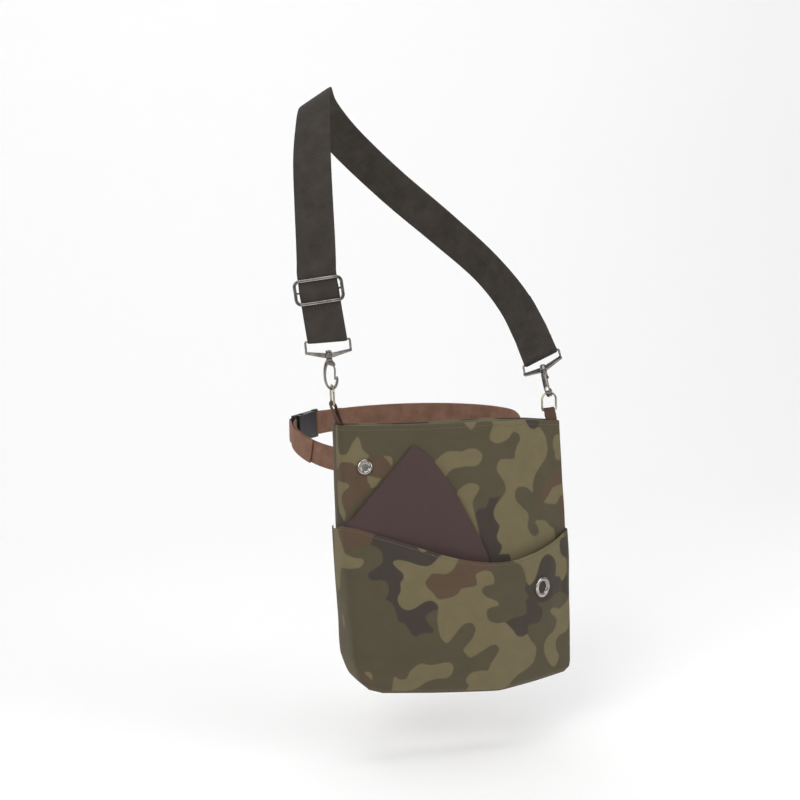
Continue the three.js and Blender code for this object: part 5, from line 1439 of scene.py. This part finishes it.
def pocketGrid(down, grow):
    x = middleRing[None, :, 0]
    top = pocketTop(x) / bagValues["height"]
    h = mix(top, pocketValues["foot"], down)
    # the cloth follows the bag round its bottom edge and ends in the seam there
    low = np.clip((h - bagValues["uprightTo"]) / (1 - bagValues["uprightTo"]), 0, 0.98)
    sewn = 1 - 0.9 * smooth((down - 0.97) / 0.03)
    tuck = bagValues["bottomRound"] * (1 - np.sqrt(1 - low ** 2))
    points, out = shell(h, (grow + pocketStand(x, down)) * sewn - tuck)
    across, z = clothAcross[None, :] + 0 * h, points[..., 2]
    seams = smooth((across - clothAcross[0]) / 10) * smooth((clothAcross[frontColumns - 1] - across) / 10)
    lift = (cloudy(across + 31, z - 17, 0.4) + foldHeight(across, z, pocketFolds)) * seams
    lift = np.maximum(lift * smooth((1 - down) * 6), -pocketStand(x, down) * 0.6)
    points[..., :2] += out * lift[..., None]
    return points[:, :frontColumns], out[:, :frontColumns]


def addPocket():
    v = pocketValues
    fine = np.cumsum([0, 0.35, 0.35, 0.4, 0.5, 0.5, 0.5, 0.5, 0.6, 0.8, 1.0, 1.2, 1.4])
    depth = 145.0
    down = np.concatenate([fine, np.linspace(fine[-1], depth, v["rows"])[1:]])[:, None] / depth
    mm = down * depth
    groove = -0.35 * np.exp(-((mm - v["stitchDrop"]) / 0.55) ** 2)
    outer, out = pocketGrid(down, v["gap"] + v["wall"] + groove)
    inner, _ = pocketGrid(down, v["gap"])
    thick = outer[0] - inner[0]
    lip = [((outer[0] + inner[0]) / 2 + thick / 2 * math.cos(a) + vec(0, 0, 1.0) * math.sin(a))[None]
           for a in np.linspace(0, math.pi, 8)[1:-1]]
    grid = np.concatenate([outer[::-1], *lip, inner])
    rows, columns = grid.shape[:2]
    faces = gridFaces(rows, columns, False, True)
    last = [i * columns + columns - 1 for i in range(rows)]
    first = [i * columns for i in range(rows)]
    count = len(outer)
    # the two ends are closed row by row between the outer and the inner cloth
    for ends in (first, last):
        for i in range(count - 1):
            a, b = ends[count - 1 - i], ends[count - 2 - i]
            c, d = ends[rows - count + i + 1], ends[rows - count + i]
            faces.append((a, b, c, d) if ends is first else (d, c, b, a))
        faces.append(tuple(ends[count - 1:rows - count + 1]))
    verts = grid.reshape(-1, 3)
    piece = makePiece("pocket_cloth", [(verts + bagPlace, faces)], camoCloth, ["front_pocket"])
    across = np.broadcast_to(clothAcross[None, :frontColumns], (rows, columns)).reshape(-1)
    putPrint(piece, across, verts[:, 2], verts[:, 0], np.zeros(len(verts), bool), pocketPrint)
    return outer


pocketSurface = addPocket()
print("pocket ready")


# Folded pouch cloth standing in the pocket
pouchValues = {
    "thick": 2.8, "apexX": -37.5, "apexDrop": 22.0, "apexWidth": 3.0, "leftX": -114.0, "leftDrop": 100.0,
    "rightX": 33.0,
    "rightDrop": 138.0, "hidden": 40.0, "taper": 1.1, "standOff": 4.0, "rows": 130, "columns": 120,
}
pouchFolds = [
    (-40, -30, -92, -112, 13, 1.5), (-30, -40, -50, -140, 9, -0.8), (-24, -44, 6, -140, 10, 0.9),
    (-62, -70, -76, -130, 8, -0.7),
    (-8, -70, -22, -140, 8, -0.7),
]


def pouchEdges(drop):
    v = pouchValues
    straight = mix(v["apexX"] - v["apexWidth"] / 2, v["leftX"],
                   (drop - v["apexDrop"]) / (v["leftDrop"] - v["apexDrop"]))
    left = np.maximum(straight, v["leftX"]) + np.maximum(0, drop - v["leftDrop"]) * v["taper"]
    t = (drop - v["apexDrop"]) / (v["rightDrop"] - v["apexDrop"])
    curve = np.maximum(t, 0) ** 0.68
    right = mix(v["apexX"] + v["apexWidth"] / 2, v["rightX"], np.minimum(curve, 1)) - np.maximum(0,
                                                                                                 t - 1) * 30
    return left, right


def addPouch():
    v = pouchValues
    bottom = v["rightDrop"] + v["hidden"]
    drop = np.linspace(0, 1, v["rows"])[:, None] ** 1.15 * (bottom - v["apexDrop"]) + v["apexDrop"]
    left, right = pouchEdges(drop)
    t = (0.5 - 0.5 * np.cos(np.linspace(0, math.pi, v["columns"])))[None, :]
    x = mix(left, right, t)
    ends = smooth((drop - v["apexDrop"]) / 60) * smooth((bottom - drop) / 70)
    stand = 0.3 + v["standOff"] * mix(0.6, 1, t) * ends
    lift = foldHeight(x, -drop, pouchFolds) * smooth((x - left) / 6) * smooth((right - x) / 8) + 0 * x
    # its left edge is a thick soft fold, its right edge two thin layers
    roundLeft = np.sqrt(np.clip(1 - (1 - np.clip((x - left) / 1.6, 0, 1)) ** 2, 0.0, 1))
    roundRight = np.sqrt(np.clip(1 - (1 - np.clip((right - x) / 0.8, 0, 1)) ** 2, 0.0, 1))
    roundTop = np.sqrt(np.clip(1 - (1 - np.clip((drop - v["apexDrop"]) / 1.8, 0, 1)) ** 2, 0.0, 1))
    # thin where it lies under the pocket's sewn end
    nearSeam = mix(0.25, 1, smooth((x + 116) / 14))
    body = v["thick"] * mix(1.0, 0.6,
                            smooth((t - 0.6) / 0.4)) * roundLeft * roundRight * roundTop * nearSeam
    middle = (stand + v["thick"] / 2) * nearSeam
    front, _ = onFront(x, drop + 0 * x, middle + body / 2 + np.maximum(lift, -0.4 - 0 * x))
    behind, _ = onFront(x, drop + 0 * x, middle - body / 2)
    rows, columns = x.shape
    grid = np.concatenate([front, behind[::-1]])
    faces = gridFaces(2 * rows, columns, False, True)
    count = rows * columns
    for j, flip in ((0, False), (columns - 1, True)):
        for i in range(rows - 1):
            a, b = i * columns + j, (i + 1) * columns + j
            c, d = (2 * rows - 2 - i) * columns + j, (2 * rows - 1 - i) * columns + j
            faces.append((d, c, b, a) if flip else (a, b, c, d))
    verts = grid.reshape(-1, 3)
    piece = makePiece("pouch_cloth", [(verts + bagPlace, faces)], pouchCloth, ["pouch_flap"])
    giveNumbers(piece, "clothPlace", np.column_stack([verts[:, 0], verts[:, 2], 0 * verts[:, 0]]))


addPouch()
print("pouch ready")


# Press stud and eyelet
studValues = {"width": 16.0, "high": 2.6, "post": 5.0, "x": -88.0, "drop": 40.0}
eyeletValues = {"width": 21.4, "hole": 11.0, "x": 92.0, "drop": 173.0}


def seatOn(p, out):
    m = np.eye(4)
    z = unit(out)
    x = unit(vec(1, 0, 0) - z * z[0])
    m[:3, 0], m[:3, 1], m[:3, 2], m[:3, 3] = x, np.cross(z, x), z, p + bagPlace
    return m


def addStud():
    s, wall = studValues, bagValues["wall"]
    r = s["width"] / 2
    back = -wall - 0.3
    profile = [(0, back - 1.4), (r * 0.72, back - 1.4), (r * 0.72, back), (s["post"] / 2, back),
               (s["post"] / 2, 0.3), (r - 0.6, 0.3),
               (r - 0.1, 0.6), (r, 1.1), (r - 0.35, 1.9), (r - 1.1, 2.4), (r - 1.9, s["high"]),
               (r - 2.7, 2.45), (r - 3.3, 1.9),
               (r - 3.7, 1.35), (r - 4.4, 1.15), (0, 1.45)]
    p, out = onFront(np.array(s["x"]), np.array(s["drop"]), 0.0)
    makePiece("press_stud_cap", [turned(profile, 64)], domedNickel, ["press_stud"],
              matrix=seatOn(p, out))


def addEyelet():
    e = eyeletValues
    flat = pocketSurface.reshape(-1, 3)
    nearest = int(np.argmin((flat[:, 0] - e["x"]) ** 2 + (flat[:, 2] + e["drop"]) ** 2))
    i, j = divmod(nearest, frontColumns)
    side = unit(pocketSurface[i, j + 5] - pocketSurface[i, j - 5])
    fall = unit(pocketSurface[i + 5, j] - pocketSurface[i - 5, j])
    out = unit(np.cross(fall, side))
    r, hole, wall = e["width"] / 2, e["hole"] / 2, pocketValues["wall"]
    front, back = 0.8, -wall - 0.8
    profile = [(hole, back - 0.8), (r - 2.2, back - 0.8), (r - 2.2, back), (hole + 0.9, back),
               (hole + 0.9, front - 0.2), (r - 0.4, front - 0.2),
               (r, front + 0.1), (r - 0.15, front + 0.55), (r - 0.9, front + 0.95), (r - 2.2, front + 1.25),
               (r - 3.6, front + 1.15),
               (hole + 1.0, front + 0.7), (hole + 0.35, front + 0.1), (hole, front - 0.8)]
    makePiece("eyelet_ring", [turned(profile, 72, True)], domedNickel, ["eyelet"],
              matrix=seatOn(flat[nearest], out))


addStud()
addEyelet()
print("stud and eyelet ready")


# Belt loops, buckle and sewing
def backAt(x, z):
    h = -z / bagValues["height"]
    ring = shell(np.array([[h]]))[0][0][frontColumns:]
    return float(np.interp(-x, -ring[:, 0], ring[:, 1]))


def beltBehind(x):
    low, high = 181.0, 359.0
    for _ in range(24):
        middle = (low + high) / 2
        if beltPoint(middle)[0] < x + bagPlace[0]:
            low = middle
        else:
            high = middle
    return beltPoint(low) - bagPlace


def addLoop(side, x):
    v = beltValues
    half = v["loopWide"] / 2
    middle = beltBehind(x)
    out = max(beltBehind(x - half)[1], beltBehind(x + half)[1]) + v["thick"] / 2 + 0.3 + v["loopThick"] / 2
    rise = v["wide"] / 2 + 2.5
    places, acrosses = [], []
    for up in (rise + 5 + v["loopSewn"], rise + 5, rise, -rise, -rise - 5, -rise - 5 - v["loopSewn"]):
        z = middle[2] + up
        onCloth = abs(up) > rise
        a, b = backAt(x - half, z), backAt(x + half, z)
        y = max((a + b) / 2, backAt(x, z)) + 0.45 + v["loopThick"] / 2 if onCloth else out
        places.append(vec(x, y, z) + bagPlace)
        acrosses.append(vec(1, (b - a) / v["loopWide"] if onCloth else 0, 0))
    part, flat, _ = webbing(places, acrosses, v["loopWide"], v["loopThick"], 1.0, 20)
    piece = makePiece(f"belt_loop_{side}_webbing", [part], brownWeb, [f"belt_loop_{side}"])
    giveNumbers(piece, "webPlace", flat)
    parts = []
    for up in (rise + 5 + 2, rise + 5 + v["loopSewn"] - 2, -rise - 5 - 2, -rise - 5 - v["loopSewn"] + 2):
        z = middle[2] + up
        for k in range(7):
            at = x - half + 2.5 + k * 2.4
            y = backAt(at, z) + 0.45 + v["loopThick"]
            parts.append(stitch(vec(at, y, z) + bagPlace, vec(at + 1.8, y, z) + bagPlace, vec(0, 1, 0),
                                0.55))
    makePiece(f"belt_loop_{side}_stitches", parts, brownThread, [])


for side, x in (("left", -beltValues["loopX"] - bagPlace[0]), ("right", beltValues["loopX"] - bagPlace[0])):
    addLoop(side, x)


# The buckle keeps its own solids: welded, with every edge rounded as a mould leaves it
def dressBuckle(name):
    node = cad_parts[name]
    node.data.materials.clear()
    node.data.materials.append(acetal)
    weld = node.modifiers.new("weld", "WELD")
    weld.merge_threshold = 0.00001
    bevel = node.modifiers.new("soft edges", "BEVEL")
    bevel.width = 0.0007
    bevel.segments = 4
    bevel.limit_method = "ANGLE"
    bevel.angle_limit = math.radians(40)
    bevel.harden_normals = True


for name in ("belt_buckle_socket", "belt_buckle_clip"):
    dressBuckle(name)


# A row of stitches along a line on a cloth
def stitchRow(line, outs, pitch, long, thick):
    run = np.concatenate([[0], np.cumsum(np.linalg.norm(np.diff(line, axis=0), axis=1))])
    parts = []
    for at in np.arange(pitch / 2, run[-1] - long, pitch):
        a, b, out = (np.array([np.interp(s, run, source[:, k]) for k in range(3)])
                     for s, source in ((at, line), (at + long, line), (at + long / 2, outs)))
        parts.append(stitch(a, b, unit(out), thick))
    return parts


def surfaceRow(surface, row):
    line = surface[row] + bagPlace
    along = np.gradient(line, axis=0)
    fall = surface[min(row + 2, len(surface) - 1)] - surface[row]
    return line, unit(np.cross(fall, along))


def sewCloth():
    parts = []
    line, outs = surfaceRow(pocketSurface, 5)
    parts += stitchRow(line[6:-6], outs[6:-6], 3.3, 2.3, 0.55)
    makePiece("pocket_stitches", parts, oliveThread, [])
    step = bagValues["uprightTo"] * bagValues["height"] / (bagValues["rows"] - 1)
    line = bodySurface[int(round(2.6 / step))] + bagPlace
    along = np.roll(line, -1, 0) - np.roll(line, 1, 0)
    outs = unit(np.cross(vec(0, 0, -1)[None], along))
    parts = stitchRow(np.vstack([line, line[:1]]), np.vstack([outs, outs[:1]]), 3.3, 2.3, 0.5)
    makePiece("mouth_stitches", parts, oliveThread, [])


sewCloth()
print("sewing ready")
